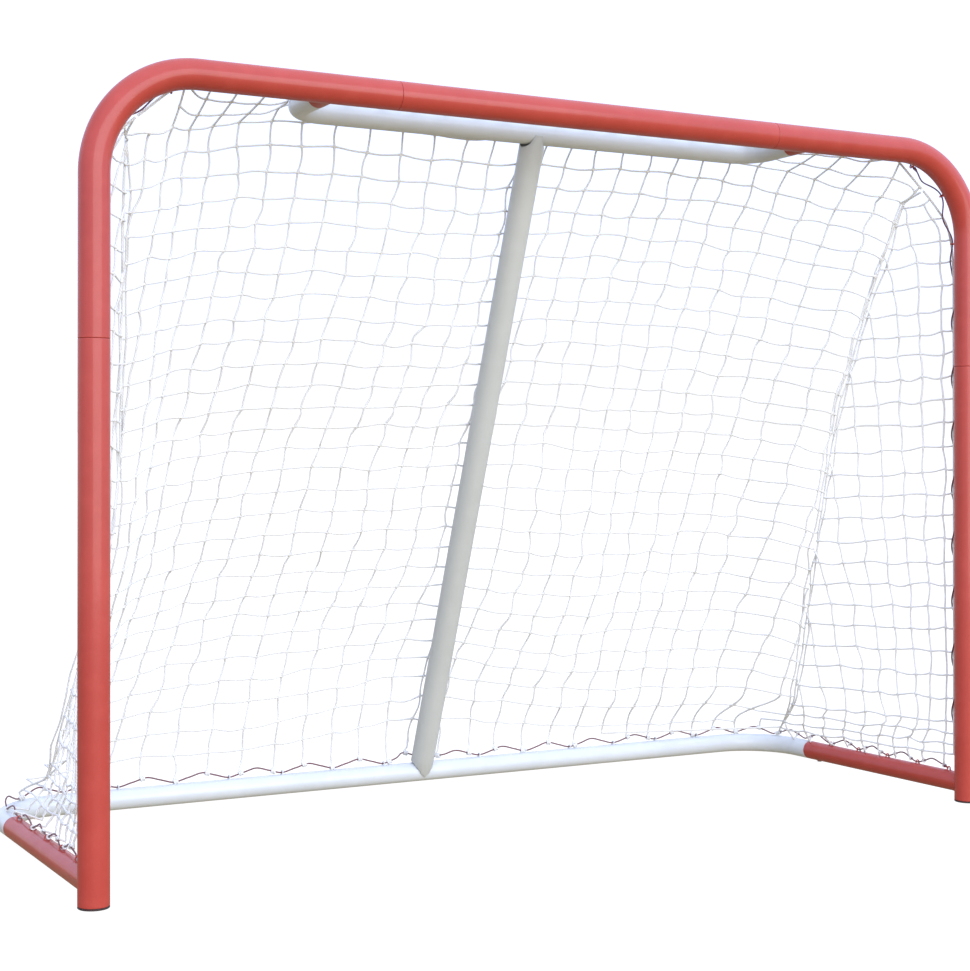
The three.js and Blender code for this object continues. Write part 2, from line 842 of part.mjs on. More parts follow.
// back panel: from the upper bar and the two top corners down to the back bar
const BEHIND = UPPER_DEPTH + 25; // the back panel's plane behind the upper bar
const backTop = [
  V(-SHOULDER.x, SHOULDER.y, SHOULDER.z),
  V(-620, 118, 1140),
  V(UPPER_LEFT_X - 10, BEHIND, 1158),
  V(-220, BEHIND, 1158),
  V(0, BEHIND, 1158),
  V(220, BEHIND, 1158),
  V(UPPER_RIGHT_X + 10, BEHIND, 1158),
  V(620, 118, 1140),
  V(SHOULDER.x, SHOULDER.y, SHOULDER.z),
];
const HEM_X = 788;
const backHem = [-HEM_X, -640, -450, -220, 0, 220, 450, 640, HEM_X].map((x) =>
  V(
    x,
    Math.abs(x) > 720 ? BASE_DEPTH - 14 : BASE_DEPTH + 22,
    HEM_Z,
  ),
);
const backNormal = V(0, 0.94, 0.342);
add("net_back", sheet(backTop, backHem, 3, () => backNormal), netWhite());

// side panels: from the post back to the crease they share with the back panel
for (const [label, side] of [
  ["left", -1],
  ["right", 1],
]) {
  const front = [
    V(side * POST_X, EDGE_Y, HEM_Z),
    V(side * POST_X, EDGE_Y, 400),
    V(side * POST_X, EDGE_Y, 760),
    V(side * (POST_X - 3), EDGE_Y, 995),
    V(side * (POST_X - 22), EDGE_Y, 1066),
  ];
  const crease = [HEM_Z, 400, 760, 995, 1066].map((z) => {
    const t = (z - HEM_Z) / (SHOULDER.z - HEM_Z);
    return V(
      side * (HEM_X + 6 - (HEM_X - SHOULDER.x) * t),
      BASE_DEPTH - 26 + (SHOULDER.y + 6 - (BASE_DEPTH - 26)) * t,
      z,
    );
  });
  add(
    "net_" + label,
    sheet(front, crease, 2, () => V(side, 0, 0)),
    netWhite(),
  );
}

// roof: from the crossbar back over the upper bar
const ROOF_Z = 1178.1;
const roofFront = [-720, -630, -500, -300, 0, 300, 500, 630, 720].map((x) =>
  V(x, 32, Math.abs(x) > 680 ? 1150 : ROOF_Z),
);
const roofRear = [
  V(-720, 66, 1122),
  V(-630, 122, 1150),
  V(-500, 178, ROOF_Z),
  V(-300, 190, ROOF_Z),
  V(0, 190, ROOF_Z),
  V(300, 190, ROOF_Z),
  V(500, 178, ROOF_Z),
  V(630, 122, 1150),
  V(720, 66, 1122),
];
add("net_roof", sheet(roofFront, roofRear, 1, () => up), netWhite());

// ---------------------------------------------------------------- standing
// Lean the frame back until the rear rims of the feet and the back bar are level.
frame.updateMatrixWorld(true);
function points(name) {
  const mesh = frame.getObjectByName(name);
  mesh.updateMatrixWorld(true);
  const a = mesh.geometry.attributes.position;
  return Array.from({ length: a.count }, (_, i) =>
    new THREE.Vector3().fromBufferAttribute(a, i).applyMatrix4(mesh.matrix),
  );
}
const footPts = points("left_foot_cap");
const barPts = points("base_back_bar");
const lowest = (pts, lean) =>
  Math.min(...pts.map((p) => p.z * Math.cos(lean) - p.y * Math.sin(lean)));
let lo = 0;
let hi = 0.1;
for (let i = 0; i < 50; i++) {
  const mid = (lo + hi) / 2;
  if (lowest(barPts, mid) > lowest(footPts, mid)) lo = mid;
  else hi = mid;
}
frame.rotation.x = -lo;

// Origin: the middle of the bounding box's underside.
const group = new THREE.Group();
group.name = "hockey_goal";
group.add(frame);
group.updateMatrixWorld(true);
const box = new THREE.Box3().setFromObject(group, true);
frame.position.set(
  -(box.min.x + box.max.x) / 2,
  -(box.min.y + box.max.y) / 2,
  -box.min.z,
);
group.updateMatrixWorld(true);

export default group;
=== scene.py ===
import math

import bpy
import numpy as np
from mathutils import Matrix, Vector


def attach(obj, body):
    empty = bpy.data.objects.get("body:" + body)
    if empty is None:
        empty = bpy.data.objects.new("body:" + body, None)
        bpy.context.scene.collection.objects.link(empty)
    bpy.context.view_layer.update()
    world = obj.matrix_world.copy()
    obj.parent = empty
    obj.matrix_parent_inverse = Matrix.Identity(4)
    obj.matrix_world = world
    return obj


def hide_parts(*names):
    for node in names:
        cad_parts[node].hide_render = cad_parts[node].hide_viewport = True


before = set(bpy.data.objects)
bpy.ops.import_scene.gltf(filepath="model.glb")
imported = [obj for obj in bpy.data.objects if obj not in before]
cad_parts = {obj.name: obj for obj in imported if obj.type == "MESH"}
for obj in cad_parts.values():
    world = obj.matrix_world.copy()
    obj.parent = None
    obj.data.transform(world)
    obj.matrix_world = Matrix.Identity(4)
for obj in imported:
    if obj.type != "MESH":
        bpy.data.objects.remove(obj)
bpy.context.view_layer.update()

# ------------------------------------------------------------------ frame of reference
LEAN = 0.024972819318381405
CT, ST = math.cos(LEAN), math.sin(LEAN)
OFF_Y, OFF_Z = -0.2968304350154784, 0.000536859809923753


def lean(p):
    p = np.asarray(p, float)
    return np.stack(
        [
            p[..., 0],
            p[..., 1] * CT + p[..., 2] * ST + OFF_Y,
            -p[..., 1] * ST + p[..., 2] * CT + OFF_Z,
        ],
        -1,
    )


def lean_dir(d):
    d = np.asarray(d, float)
    return np.stack(
        [d[..., 0], d[..., 1] * CT + d[..., 2] * ST, -d[..., 1] * ST + d[..., 2] * CT],
        -1,
    )


def unit(v):
    v = np.asarray(v, float)
    return v / np.maximum(np.linalg.norm(v, axis=-1, keepdims=True), 1e-12)


X, Y, Z = np.eye(3)

# ------------------------------------------------------------------ camera
YAW, PITCH = 0.5044, 0.0032
fwd = np.array(
    [math.sin(YAW) * math.cos(PITCH), math.cos(YAW) * math.cos(PITCH), math.sin(PITCH)]
)
right = np.array([math.cos(YAW), -math.sin(YAW), 0.0])
cam_data = bpy.data.cameras.new("Camera")
cam_data.sensor_fit = "HORIZONTAL"
cam_data.sensor_width = 36.0
cam_data.lens = 1821.1 * 36.0 / 970.0
cam_data.shift_x = 0.0
cam_data.shift_y = (451.79 - 485.5) / 970.0
cam_data.clip_start, cam_data.clip_end = 0.05, 200.0
cam = bpy.data.objects.new("Camera", cam_data)
bpy.context.scene.collection.objects.link(cam)
c_right, c_fwd = lean_dir(right), lean_dir(fwd)
c_up = np.cross(c_right, c_fwd)
c_pos = lean([-1.538, -2.4455, 0.6168])
m = np.eye(4)
m[:3, 0], m[:3, 1], m[:3, 2], m[:3, 3] = c_right, c_up, -c_fwd, c_pos
cam.matrix_world = Matrix(m.tolist())
bpy.context.scene.camera = cam

# ------------------------------------------------------------------ sizes, in metres
MM = 0.001
TOP_Z, POST_X, CORNER_R = 1.1578, 0.8005, 0.150
FRONT_R, BAR_R, STRUT_R, WALL = 0.0222, 0.0176, 0.0210, 0.0015
POST_SEAM_Z, SEAM_LEFT_X, SEAM_RIGHT_X = 0.780, -0.338, 0.363
BASE_Z, BASE_DEPTH, BASE_BACK_X, BASE_BEND_R, STUB_Y = 0.0318, 0.590, 0.796, 0.110, 0.437
UPPER_LEFT_X, UPPER_RIGHT_X, UPPER_DEPTH, UPPER_DROP = -0.441, 0.450, 0.172, 0.0018
UPPER_BEND_R, UPPER_STUB_Y = 0.055, 0.060
GAP = 0.0003
SPIGOT, UPPER_SPIGOT = 0.060, 0.018
CORD_R, CORD_LOW, CORD_HIGH, CROSS_HIGH = 0.0015, 0.003, 0.015, 0.011
PERIOD, CROSS_PERIOD, SIDE_PERIOD = 0.1007, 0.099, 0.0816
POST_PEAK, BACK_PEAK = 0.750, -0.026
SIDE_PEAK = {-1: 0.119, 1: 0.087}
CROSS_OUT = np.array(
    [0.0, math.cos(math.radians(38.5)), math.sin(math.radians(38.5))]
)
POST_S1 = TOP_Z - CORNER_R + CORNER_R * 1.32
CROSS_S = POST_X - CORNER_R - 0.012


def upper_z(y):
    return TOP_Z - UPPER_DROP * y / UPPER_DEPTH


# ------------------------------------------------------------------ mesh building
class Build:
    """Collects rings and faces, then becomes one Blender object."""

    def __init__(self):
        self.v, self.q, self.uv, self.g = [], [], [], []
        self.n = 0

    def add(self, verts, quads, uvs=None, ngons=()):
        verts = np.asarray(verts, float).reshape(-1, 3)
        quads = np.asarray(quads, int).reshape(-1, 4)
        if uvs is None:
            uvs = np.zeros((len(quads), 4, 2))
        self.v.append(verts)
        self.q.append(quads + self.n)
        self.uv.append(np.asarray(uvs, float).reshape(-1, 4, 2))
        self.g += [[int(i) + self.n for i in g] for g in ngons]
        self.n += len(verts)

    def rings(self, R, closed=False, caps=True, along=None):
        """R is (rings, sides, 3). closed joins the last ring to the first."""
        n, s = R.shape[:2]
        i = np.arange(n if closed else n - 1)[:, None]
        k = np.arange(s)[None, :]
        a = i * s + k
        b = i * s + (k + 1) % s
        c = ((i + 1) % n) * s + (k + 1) % s
        d = ((i + 1) % n) * s + k
        quads = np.stack([a, b, c, d], -1).reshape(-1, 4)
        if along is None:
            along = np.r_[0, np.cumsum(np.linalg.norm(np.diff(R[:, 0], axis=0), axis=1))]
        along = np.asarray(along, float)
        ua = np.broadcast_to(along[i], (len(i), s))
        ub = np.broadcast_to(along[(i + 1) % n], (len(i), s))
        v0 = np.broadcast_to(k / s, (len(i), s))
        v1 = v0 + 1 / s
        uv = np.stack(
            [
                np.stack([ua, v0], -1),
                np.stack([ua, v1], -1),
                np.stack([ub, v1], -1),
                np.stack([ub, v0], -1),
            ],
            -2,
        ).reshape(-1, 4, 2)
        ngons = []
        if not closed and caps:
            ngons = [list(range(s))[::-1], [(n - 1) * s + j for j in range(s)]]
        self.add(R.reshape(-1, 3), quads, uv, ngons)

    def object(self, name, material, replaces=(), angle=38.0):
        v = lean(np.concatenate(self.v))
        q = np.concatenate(self.q)
        me = bpy.data.meshes.new(name)
        nq, ng = len(q), len(self.g)
        loops = np.concatenate([q.ravel(), np.array([i for g in self.g for i in g], int)])
        starts = np.concatenate(
            [
                np.arange(nq) * 4,
                nq * 4 + np.cumsum([0] + [len(g) for g in self.g])[:-1],
            ]
        ).astype(np.int32)
        me.vertices.add(len(v))
        me.vertices.foreach_set("co", v.astype(np.float32).ravel())
        me.loops.add(len(loops))
        me.loops.foreach_set("vertex_index", loops.astype(np.int32))
        me.polygons.add(nq + ng)
        me.polygons.foreach_set("loop_start", starts[: nq + ng])
        me.update(calc_edges=True)
        uv = np.zeros((len(loops), 2), np.float32)
        uv[: nq * 4] = np.concatenate(self.uv).reshape(-1, 2)
        layer = me.uv_layers.new(name="UVMap")
        layer.data.foreach_set("uv", uv.ravel())
        me.validate(clean_customdata=False)
        me.shade_smooth()
        me.set_sharp_from_angle(angle=math.radians(angle))
        me.materials.append(material)
        ob = bpy.data.objects.new(name, me)
        bpy.context.scene.collection.objects.link(ob)
        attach(ob, "root")
        if replaces:
            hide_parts(*replaces)
        return ob


class Path:
    """Straight runs between corners, joined by round bends of one radius."""

    def __init__(self, corners, radius=0.0):
        P = [np.asarray(c, float) for c in corners]
        self.segs, s, here = [], 0.0, P[0]
        for i in range(1, len(P) - 1):
            a, b = unit(P[i - 1] - P[i]), unit(P[i + 1] - P[i])
            half = math.acos(float(np.clip(a @ b, -1, 1))) / 2
            back = radius / math.tan(half)
            start, end = P[i] + a * back, P[i] + b * back
            L = float(np.linalg.norm(start - here))
            self.segs.append(("line", s, L, here, unit(start - here)))
            s += L
            centre = P[i] + unit(a + b) * (radius / math.sin(half))
            e1 = unit(start - centre)
            e2 = -a
            A = radius * (math.pi - 2 * half)
            self.segs.append(("arc", s, A, centre, e1, e2, radius))
            s += A
            here = end
        L = float(np.linalg.norm(P[-1] - here))
        self.segs.append(("line", s, L, here, unit(P[-1] - here)))
        self.length = s + L

    def at(self, s):
        s = np.atleast_1d(np.asarray(s, float))
        p, t = np.zeros((len(s), 3)), np.zeros((len(s), 3))
        for j, g in enumerate(self.segs):
            lo = -1e9 if j == 0 else g[1]
            hi = 1e9 if j == len(self.segs) - 1 else g[1] + g[2]
            m = (s >= lo - 1e-12) & (s <= hi + 1e-12)
            d = (s[m] - g[1])[:, None]
            if g[0] == "line":
                p[m], t[m] = g[3] + d * g[4], g[4]
            else:
                a = d / g[6]
                p[m] = g[3] + g[6] * (np.cos(a) * g[4] + np.sin(a) * g[5])
                t[m] = -np.sin(a) * g[4] + np.cos(a) * g[5]
        return p, t

    def between(self, s0, s1, line_step=0.12, arc_step=0.006):
        """Distances strictly inside s0..s1, close together on the bends."""
        out = []
        for g in self.segs:
            a, b = max(g[1], s0), min(g[1] + g[2], s1)
            if b - a < 1e-6:
                continue
            n = max(1, math.ceil((b - a) / (line_step if g[0] == "line" else arc_step)))
            out += list(np.linspace(a, b, n + 1))
        out = sorted(set(round(x, 6) for x in out))
        return [x for x in out if s0 + 4e-4 < x < s1 - 4e-4]


def rings_along(path, N, stations, sides):
    s = np.array([a for a, _ in stations])
    r = np.array([b for _, b in stations])
    p, t = path.at(s)
    N = np.broadcast_to(unit(N), p.shape)
    N = unit(N - (N * t).sum(-1, keepdims=True) * t)
    B = np.cross(t, N)
    a = np.arange(sides) / sides * 2 * math.pi
    return (
        p[:, None]
        + r[:, None, None]
        * (np.cos(a)[None, :, None] * N[:, None] + np.sin(a)[None, :, None] * B[:, None])
    )


def lip(s, sign, r_out, r_in, rnd=0.0007):
    """Round end of a wall, from outside to inside, the material on the side -sign."""
    mid = [(0.0, 0.0), (-0.29, 0.29), (-0.62, 0.62)]
    out = [
        (s - sign * rnd, r_out),
        (s - sign * rnd * 0.55, r_out - rnd * 0.12),
        (s - sign * rnd * 0.2, r_out - rnd * 0.42),
        (s, r_out - rnd),
        (s, r_in + rnd * 0.4),
        (s - sign * rnd * 0.4, r_in),
    ]
    return out


def wall(path, s0, s1, r, wall_t, neck0=0.0, neck1=0.0, neck_r=None, first=None, last=None):
    """Closed profile of a tube wall from s0 to s1; a swaged neck may stick out of either end."""
    nr = neck_r if neck_r is not None else r - wall_t - 0.0007
    outer, inner = [], []
    if neck0:
        outer += [
            (s0 - neck0 + 0.0004, nr - wall_t),
            (s0 - neck0, nr - wall_t + 0.0004),
            (s0 - neck0, nr - 0.0006),
            (s0 - neck0 + 0.0008, nr),
            (s0 - 0.0006, nr),
            (s0 - 0.0001, nr + 0.0002),
        ] + lip(s0, -1, r, nr + 0.0003)[:4][::-1]
    else:
        outer += lip(s0, -1, r, r - wall_t)[::-1]
    outer += [(s0 + 0.0018, r), (s0 + 0.006, r)]
    outer += [(s, r) for s in path.between(s0 + 0.008, s1 - 0.008)]
    outer += [(s1 - 0.006, r), (s1 - 0.0018, r)]
    if neck1:
        outer += lip(s1, 1, r, nr + 0.0003)[:4] + [
            (s1 + 0.0001, nr + 0.0002),
            (s1 + 0.0006, nr),
            (s1 + neck1 - 0.0008, nr),
            (s1 + neck1, nr - 0.0006),
            (s1 + neck1, nr - wall_t + 0.0004),
            (s1 + neck1 - 0.0004, nr - wall_t),
        ]
    else:
        outer += lip(s1, 1, r, r - wall_t)
    if neck1:
        inner += [(s1 + 0.002, nr - wall_t), (s1 - 0.006, r - wall_t)]
    inner += [(s, r - wall_t) for s in path.between(s0 + 0.008, s1 - 0.008)][::-1]
    if neck0:
        inner += [(s0 + 0.006, r - wall_t), (s0 - 0.002, nr - wall_t)]
    return outer + inner


def smooth_line(pts, per=8):
    """Catmull-Rom through the points."""
    P = np.asarray(pts, float)
    P = np.concatenate([[2 * P[0] - P[1]], P, [2 * P[-1] - P[-2]]])
    t = np.arange(per)[None, :, None] / per
    a, b, c, d = P[:-3, None], P[1:-2, None], P[2:-1, None], P[3:, None]
    r = 0.5 * (
        2 * b
        + (c - a) * t
        + (2 * a - 5 * b + 4 * c - d) * t**2
        + (3 * b - a - 3 * c + d) * t**3
    )
    return np.concatenate([r.reshape(-1, 3), P[-2][None]])


def tangents(P):
    t = np.zeros_like(P)
    t[1:-1] = P[2:] - P[:-2]
    t[0], t[-1] = P[1] - P[0], P[-1] - P[-2]
    return unit(t)


def rod_rings(P, r, sides, ref=None, twist=0.0, lobes=0, depth=0.0):
    """Rings of a rod along a polyline. ref is a direction never along the line; without
    it the frame is carried along."""
    P = np.asarray(P, float)
    T = tangents(P)
    if ref is not None:
        N = np.broadcast_to(np.asarray(ref, float), P.shape)
        N = unit(N - (N * T).sum(-1, keepdims=True) * T)
    else:
        N = np.zeros_like(P)
        n = np.cross(T[0], Z if abs(T[0][2]) < 0.8 else X)
        for i in range(len(P)):
            n = n - (n @ T[i]) * T[i]
            n = n / max(np.linalg.norm(n), 1e-9)
            N[i] = n
    B = np.cross(T, N)
    along = np.r_[0, np.cumsum(np.linalg.norm(np.diff(P, axis=0), axis=1))]
    a = np.arange(sides) / sides * 2 * math.pi
    rr = np.broadcast_to(np.asarray(r, float), (len(P),))[:, None] * np.ones((1, sides))
    if lobes:
        ph = lobes * (a[None] - along[:, None] * twist)
        rr = rr * (1 - depth + depth * np.abs(np.cos(ph / 2)) * 1.6)
    R = P[:, None] + rr[..., None] * (
        np.cos(a)[None, :, None] * N[:, None] + np.sin(a)[None, :, None] * B[:, None]
    )
    return R, along


def lathe(build, centre, axis, profile, sides=32, caps=True):
    axis = unit(axis)
    n = unit(np.cross(axis, X if abs(axis[0]) < 0.8 else Y))
    b = np.cross(axis, n)
    a = np.arange(sides) / sides * 2 * math.pi
    R = np.array(
        [
            np.asarray(centre)
            + axis * h
            + r * (np.cos(a)[:, None] * n + np.sin(a)[:, None] * b)
            for r, h in profile
        ]
    )
    build.rings(R, closed=False, caps=caps)


def lacing_arch(build, at, along, out, r):
    """A small loop of round wire on a tube, standing across it."""
    side = unit(np.cross(along, out))
    w, h0 = 0.0034, 0.0030
    pts = [(-w * 1.25, -0.0012), (-w * 1.06, 0.0006), (-w, 0.0018), (-w, h0)]
    pts += [(-w * math.cos(a), h0 + w * math.sin(a)) for a in np.linspace(0, math.pi, 9)[1:-1]]
    pts += [(w, h0), (w, 0.0018), (w * 1.06, 0.0006), (w * 1.25, -0.0012)]
    P = np.array([np.asarray(at) + side * a + unit(out) * (r + b) for a, b in pts])
    rad = np.full(len(P), 0.00115)
    rad[[0, -1]], rad[[1, -2]] = 0.0021, 0.0014
    R, al = rod_rings(P, rad, 8, ref=unit(along))
    build.rings(R, along=al)


# ------------------------------------------------------------------ materials
def rgb(r, g, b):
    """Screen colour (0 to 255) as linear light."""
    return tuple(
        (c / 255 / 12.92) if c / 255 <= 0.04045 else ((c / 255 + 0.055) / 1.055) ** 2.4
        for c in (r, g, b)
    )


class Mat:
    def __init__(self, name):
        self.m = bpy.data.materials.new(name)
        self.m.use_nodes = True
        self.t = self.m.node_tree
        self.t.nodes.clear()
        self.out = self.node("ShaderNodeOutputMaterial")
        self.b = self.node("ShaderNodeBsdfPrincipled")
        self.link(self.b.outputs[0], self.out.inputs[0])
        self.tc = self.node("ShaderNodeTexCoord")

    def node(self, kind, **kw):
        n = self.t.nodes.new(kind)
        for k, v in kw.items():
            setattr(n, k, v)
        return n

    def link(self, a, b):
        self.t.links.new(a, b)

    def noise(self, scale, detail=3.0, rough=0.55, source=None):
        n = self.node("ShaderNodeTexNoise")
        n.inputs["Scale"].default_value = scale
        n.inputs["Detail"].default_value = detail
        n.inputs["Roughness"].default_value = rough
        self.link(source or self.tc.outputs["Object"], n.inputs["Vector"])
        return n.outputs["Fac"]

    def span(self, value, a, b, lo=0.0, hi=1.0):
        n = self.node("ShaderNodeMapRange")
        n.inputs["From Min"].default_value = a
        n.inputs["From Max"].default_value = b
        n.inputs["To Min"].default_value = lo
        n.inputs["To Max"].default_value = hi
        self.link(value, n.inputs["Value"])
        return n.outputs[0]

    def mix(self, fac, a, b):
        n = self.node("ShaderNodeMix", data_type="RGBA")
        if isinstance(fac, (int, float)):
            n.inputs[0].default_value = fac
        else:
            self.link(fac, n.inputs[0])
        for s, v in ((n.inputs[6], a), (n.inputs[7], b)):
            if isinstance(v, tuple):
                s.default_value = (*v, 1.0)
            else:
                self.link(v, s)
        return n.outputs[2]

    def maths(self, op, a, b=None):
        n = self.node("ShaderNodeMath", operation=op)
        for s, v in zip(n.inputs, (a, b)):
            if v is None:
                continue
            if isinstance(v, (int, float)):
                s.default_value = v
            else:
                self.link(v, s)
        return n.outputs[0]

    def bump(self, height, distance, strength=1.0, below=None):
        n = self.node("ShaderNodeBump")
        n.inputs["Strength"].default_value = strength
        n.inputs["Distance"].default_value = distance
        self.link(height, n.inputs["Height"])
        if below is not None:
            self.link(below, n.inputs["Normal"])
        return n.outputs[0]


def paint(name, colour, deep, pale, rough=(0.40, 0.50), coat=0.4, spec=0.25):
    """Powder coat on steel: fine orange peel, faint mottling and light scuffs, more of them low down."""
    m = Mat(name)
    mottled = m.mix(m.span(m.noise(5.0, 4), 0.3, 0.7), deep, colour)
    fine = m.mix(m.span(m.noise(38.0, 3), 0.45, 0.75, 0.0, 0.35), mottled, pale)
    # scuffs: thin and short, more of them near the floor
    st = m.node("ShaderNodeMapping")
    st.inputs["Scale"].default_value = (1.0, 1.0, 0.22)
    m.link(m.tc.outputs["Object"], st.inputs["Vector"])
    sc = m.noise(210.0, 2, 0.5, st.outputs[0])
    sep = m.node("ShaderNodeSeparateXYZ")
    m.link(m.tc.outputs["Object"], sep.inputs[0])
    low = m.span(sep.outputs["Z"], 0.0, 0.22, 1.0, 0.25)
    scuff = m.maths("MULTIPLY", m.span(sc, 0.72, 0.80), low)
    scuff = m.maths("MULTIPLY", scuff, m.span(m.noise(9.0, 2), 0.5, 0.62))
    scuff = m.maths("MULTIPLY", scuff, 0.16)
    m.link(m.mix(scuff, fine, deep), m.b.inputs["Base Color"])
    r = m.span(m.noise(24.0, 4), 0.3, 0.7, rough[0], rough[1])
    m.link(m.maths("ADD", r, m.maths("MULTIPLY", scuff, 0.25)), m.b.inputs["Roughness"])
    peel = m.bump(m.noise(520.0, 2, 0.4), 0.00010, 0.35)
    wave = m.bump(m.noise(30.0, 1, 0.3), 0.0006, 0.12, peel)
    m.link(wave, m.b.inputs["Normal"])
    m.b.inputs["Coat Weight"].default_value = coat
    m.b.inputs["Coat Roughness"].default_value = 0.10
    m.b.inputs["IOR"].default_value = 1.5
    m.b.inputs["Specular IOR Level"].default_value = spec
    m.link(wave, m.b.inputs["Coat Normal"])
    return m.m


def rubber_mat():
    m = Mat("cap_rubber")
    m.link(
        m.mix(m.span(m.noise(60.0, 4), 0.35, 0.7), (0.020, 0.010, 0.010), (0.050, 0.026, 0.024)),
        m.b.inputs["Base Color"],
    )
    m.link(m.span(m.noise(90.0, 3), 0.3, 0.7, 0.55, 0.8), m.b.inputs["Roughness"])
    m.link(m.bump(m.noise(700.0, 3, 0.6), 0.0002, 0.5), m.b.inputs["Normal"])
    m.b.inputs["Specular IOR Level"].default_value = 0.35
    return m.m


def zinc_mat():
    m = Mat("zinc")
    cells = m.node("ShaderNodeTexVoronoi")
    cells.inputs["Scale"].default_value = 420.0
    m.link(m.tc.outputs["Object"], cells.inputs["Vector"])
    m.link(
        m.mix(m.span(cells.outputs["Distance"], 0.0, 0.9), (0.30, 0.31, 0.33), (0.50, 0.50, 0.48)),
        m.b.inputs["Base Color"],
    )
    m.link(m.span(m.noise(200.0, 3), 0.3, 0.7, 0.28, 0.46), m.b.inputs["Roughness"])
    m.link(m.bump(m.noise(900.0, 2), 0.00008, 0.5), m.b.inputs["Normal"])
    m.b.inputs["Metallic"].default_value = 0.9
    return m.m


def twine(name, colour, shade, groove_shade, turns, strands, depth, rough=0.8, sheen=0.35):
    """Twisted cord: the strands run round it (U is the distance along, V once round)."""
    m = Mat(name)
    sep = m.node("ShaderNodeSeparateXYZ")
    m.link(m.tc.outputs["UV"], sep.inputs[0])
    phase = m.maths(
        "ADD",
        m.maths("MULTIPLY", sep.outputs["X"], 2 * math.pi * turns),
        m.maths("MULTIPLY", sep.outputs["Y"], 2 * math.pi * strands),
    )
    ply = m.maths("SINE", phase)
    fibre = m.maths(
        "SINE",
        m.maths(
            "SUBTRACT",
            m.maths("MULTIPLY", sep.outputs["Y"], 2 * math.pi * strands * 5),
            m.maths("MULTIPLY", sep.outputs["X"], 2 * math.pi * turns * 1.6),
        ),
    )
    base = m.mix(m.span(m.noise(14.0, 4), 0.3, 0.7), shade, colour)
    base = m.mix(m.span(m.noise(900.0, 3, 0.7), 0.55, 0.8, 0.0, 0.4), base, shade)
    # the grooves between the plies are painted darker: painted shade where the plies meet
    m.link(m.mix(m.span(ply, -1.0, -0.25, 0.75, 0.0), base, groove_shade), m.b.inputs["Base Color"])
    m.link(m.span(m.noise(300.0, 3), 0.3, 0.7, rough - 0.08, rough + 0.1), m.b.inputs["Roughness"])
    low = m.bump(ply, depth, 0.8)
    fine = m.bump(fibre, depth * 0.15, 0.6, low)
    m.link(fine, m.b.inputs["Normal"])
    m.b.inputs["Sheen Weight"].default_value = sheen
    m.b.inputs["Sheen Roughness"].default_value = 0.5
    m.b.inputs["Specular IOR Level"].default_value = 0.25
    return m.m


RED = paint("red_paint", (0.375, 0.041, 0.028), (0.340, 0.035, 0.024), (0.42, 0.056, 0.041))
WHITE = paint(
    "white_paint", (0.56, 0.59, 0.60), (0.52, 0.55, 0.56), (0.61, 0.63, 0.64), (0.30, 0.40)
)
GREY = paint(
    "grey_paint", (0.45, 0.46, 0.425), (0.42, 0.43, 0.395), (0.48, 0.488, 0.45), (0.40, 0.50), 0.15
)
RUBBER = rubber_mat()
ZINC = zinc_mat()
# the third colour of each twine is the painted shade in its ply grooves
LACE = twine(
    "lacing", (0.190, 0.055, 0.070), (0.140, 0.038, 0.050), (0.070, 0.018, 0.024), 85.0, 3, 0.0004
)
NET = twine(
    "netting", (0.74, 0.74, 0.715), (0.70, 0.70, 0.675), (0.60, 0.60, 0.58), 190.0, 3, 0.0003
)

# ------------------------------------------------------------------ tubes
SIDES = 64


def lows(s0, s1, peak, period):
    s = peak + period / 2 + period * math.ceil((s0 - peak) / period - 0.5)
    out = []
    while s <= s1:
        if s >= s0:
            out.append(s)
        s += period
    return out


def post_line(side, s, inward=False):
    """Axis, direction and lacing side of the front frame at distance s from a foot."""
    s = np.atleast_1d(np.asarray(s, float))
    a = np.clip((s - (TOP_Z - CORNER_R)) / CORNER_R, 0, None)
    p = np.stack(
        [
            side * (POST_X - CORNER_R + CORNER_R * np.cos(a)),
            0 * s,
            np.minimum(s, TOP_Z - CORNER_R) + CORNER_R * np.sin(a),
        ],
        -1,
    )
    t = np.stack([-side * np.sin(a), 0 * s, np.cos(a)], -1)
    out = np.broadcast_to(Y, p.shape)
    if inward:
        u = np.clip((s - 0.955) / 0.050, 0, 1)
        b = np.radians(35 * u * u * (3 - 2 * u) + 17 * np.clip(a / (math.pi / 2), 0, 1))
        inn = np.stack([-side * np.cos(a), 0 * s, -np.sin(a)], -1)
        out = np.cos(b)[:, None] * out + np.sin(b)[:, None] * inn
    return p, t, out


def on_side(side, y, z=BASE_Z):
    return np.array([side * (POST_X + (BASE_BACK_X - POST_X) * y / BASE_DEPTH), y, z])


def bead(build, loop, radial, r, seed):
    """A weld bead along a closed line, with the ripples of its runs."""
    loop = np.asarray(loop, float)
    n = len(loop)
    T = unit(np.roll(loop, -1, 0) - np.roll(loop, 1, 0))
    N = unit(radial - (radial * T).sum(-1, keepdims=True) * T)
    B = np.cross(T, N)
    al = np.r_[0, np.cumsum(np.linalg.norm(np.diff(loop, axis=0), axis=1))]
    rng = np.random.default_rng(seed)
    count = round(al[-1] / 0.0024)
    rip = np.abs(np.sin(math.pi * count * al / (al[-1] + 1e-9)))
    rr = r * (0.86 + 0.16 * rip + 0.05 * rng.standard_normal(n))
    a = np.arange(12) / 12 * 2 * math.pi
    R = loop[:, None] + rr[:, None, None] * (
        np.cos(a)[None, :, None] * N[:, None] + np.sin(a)[None, :, None] * B[:, None]
    )
    build.rings(R, closed=True)


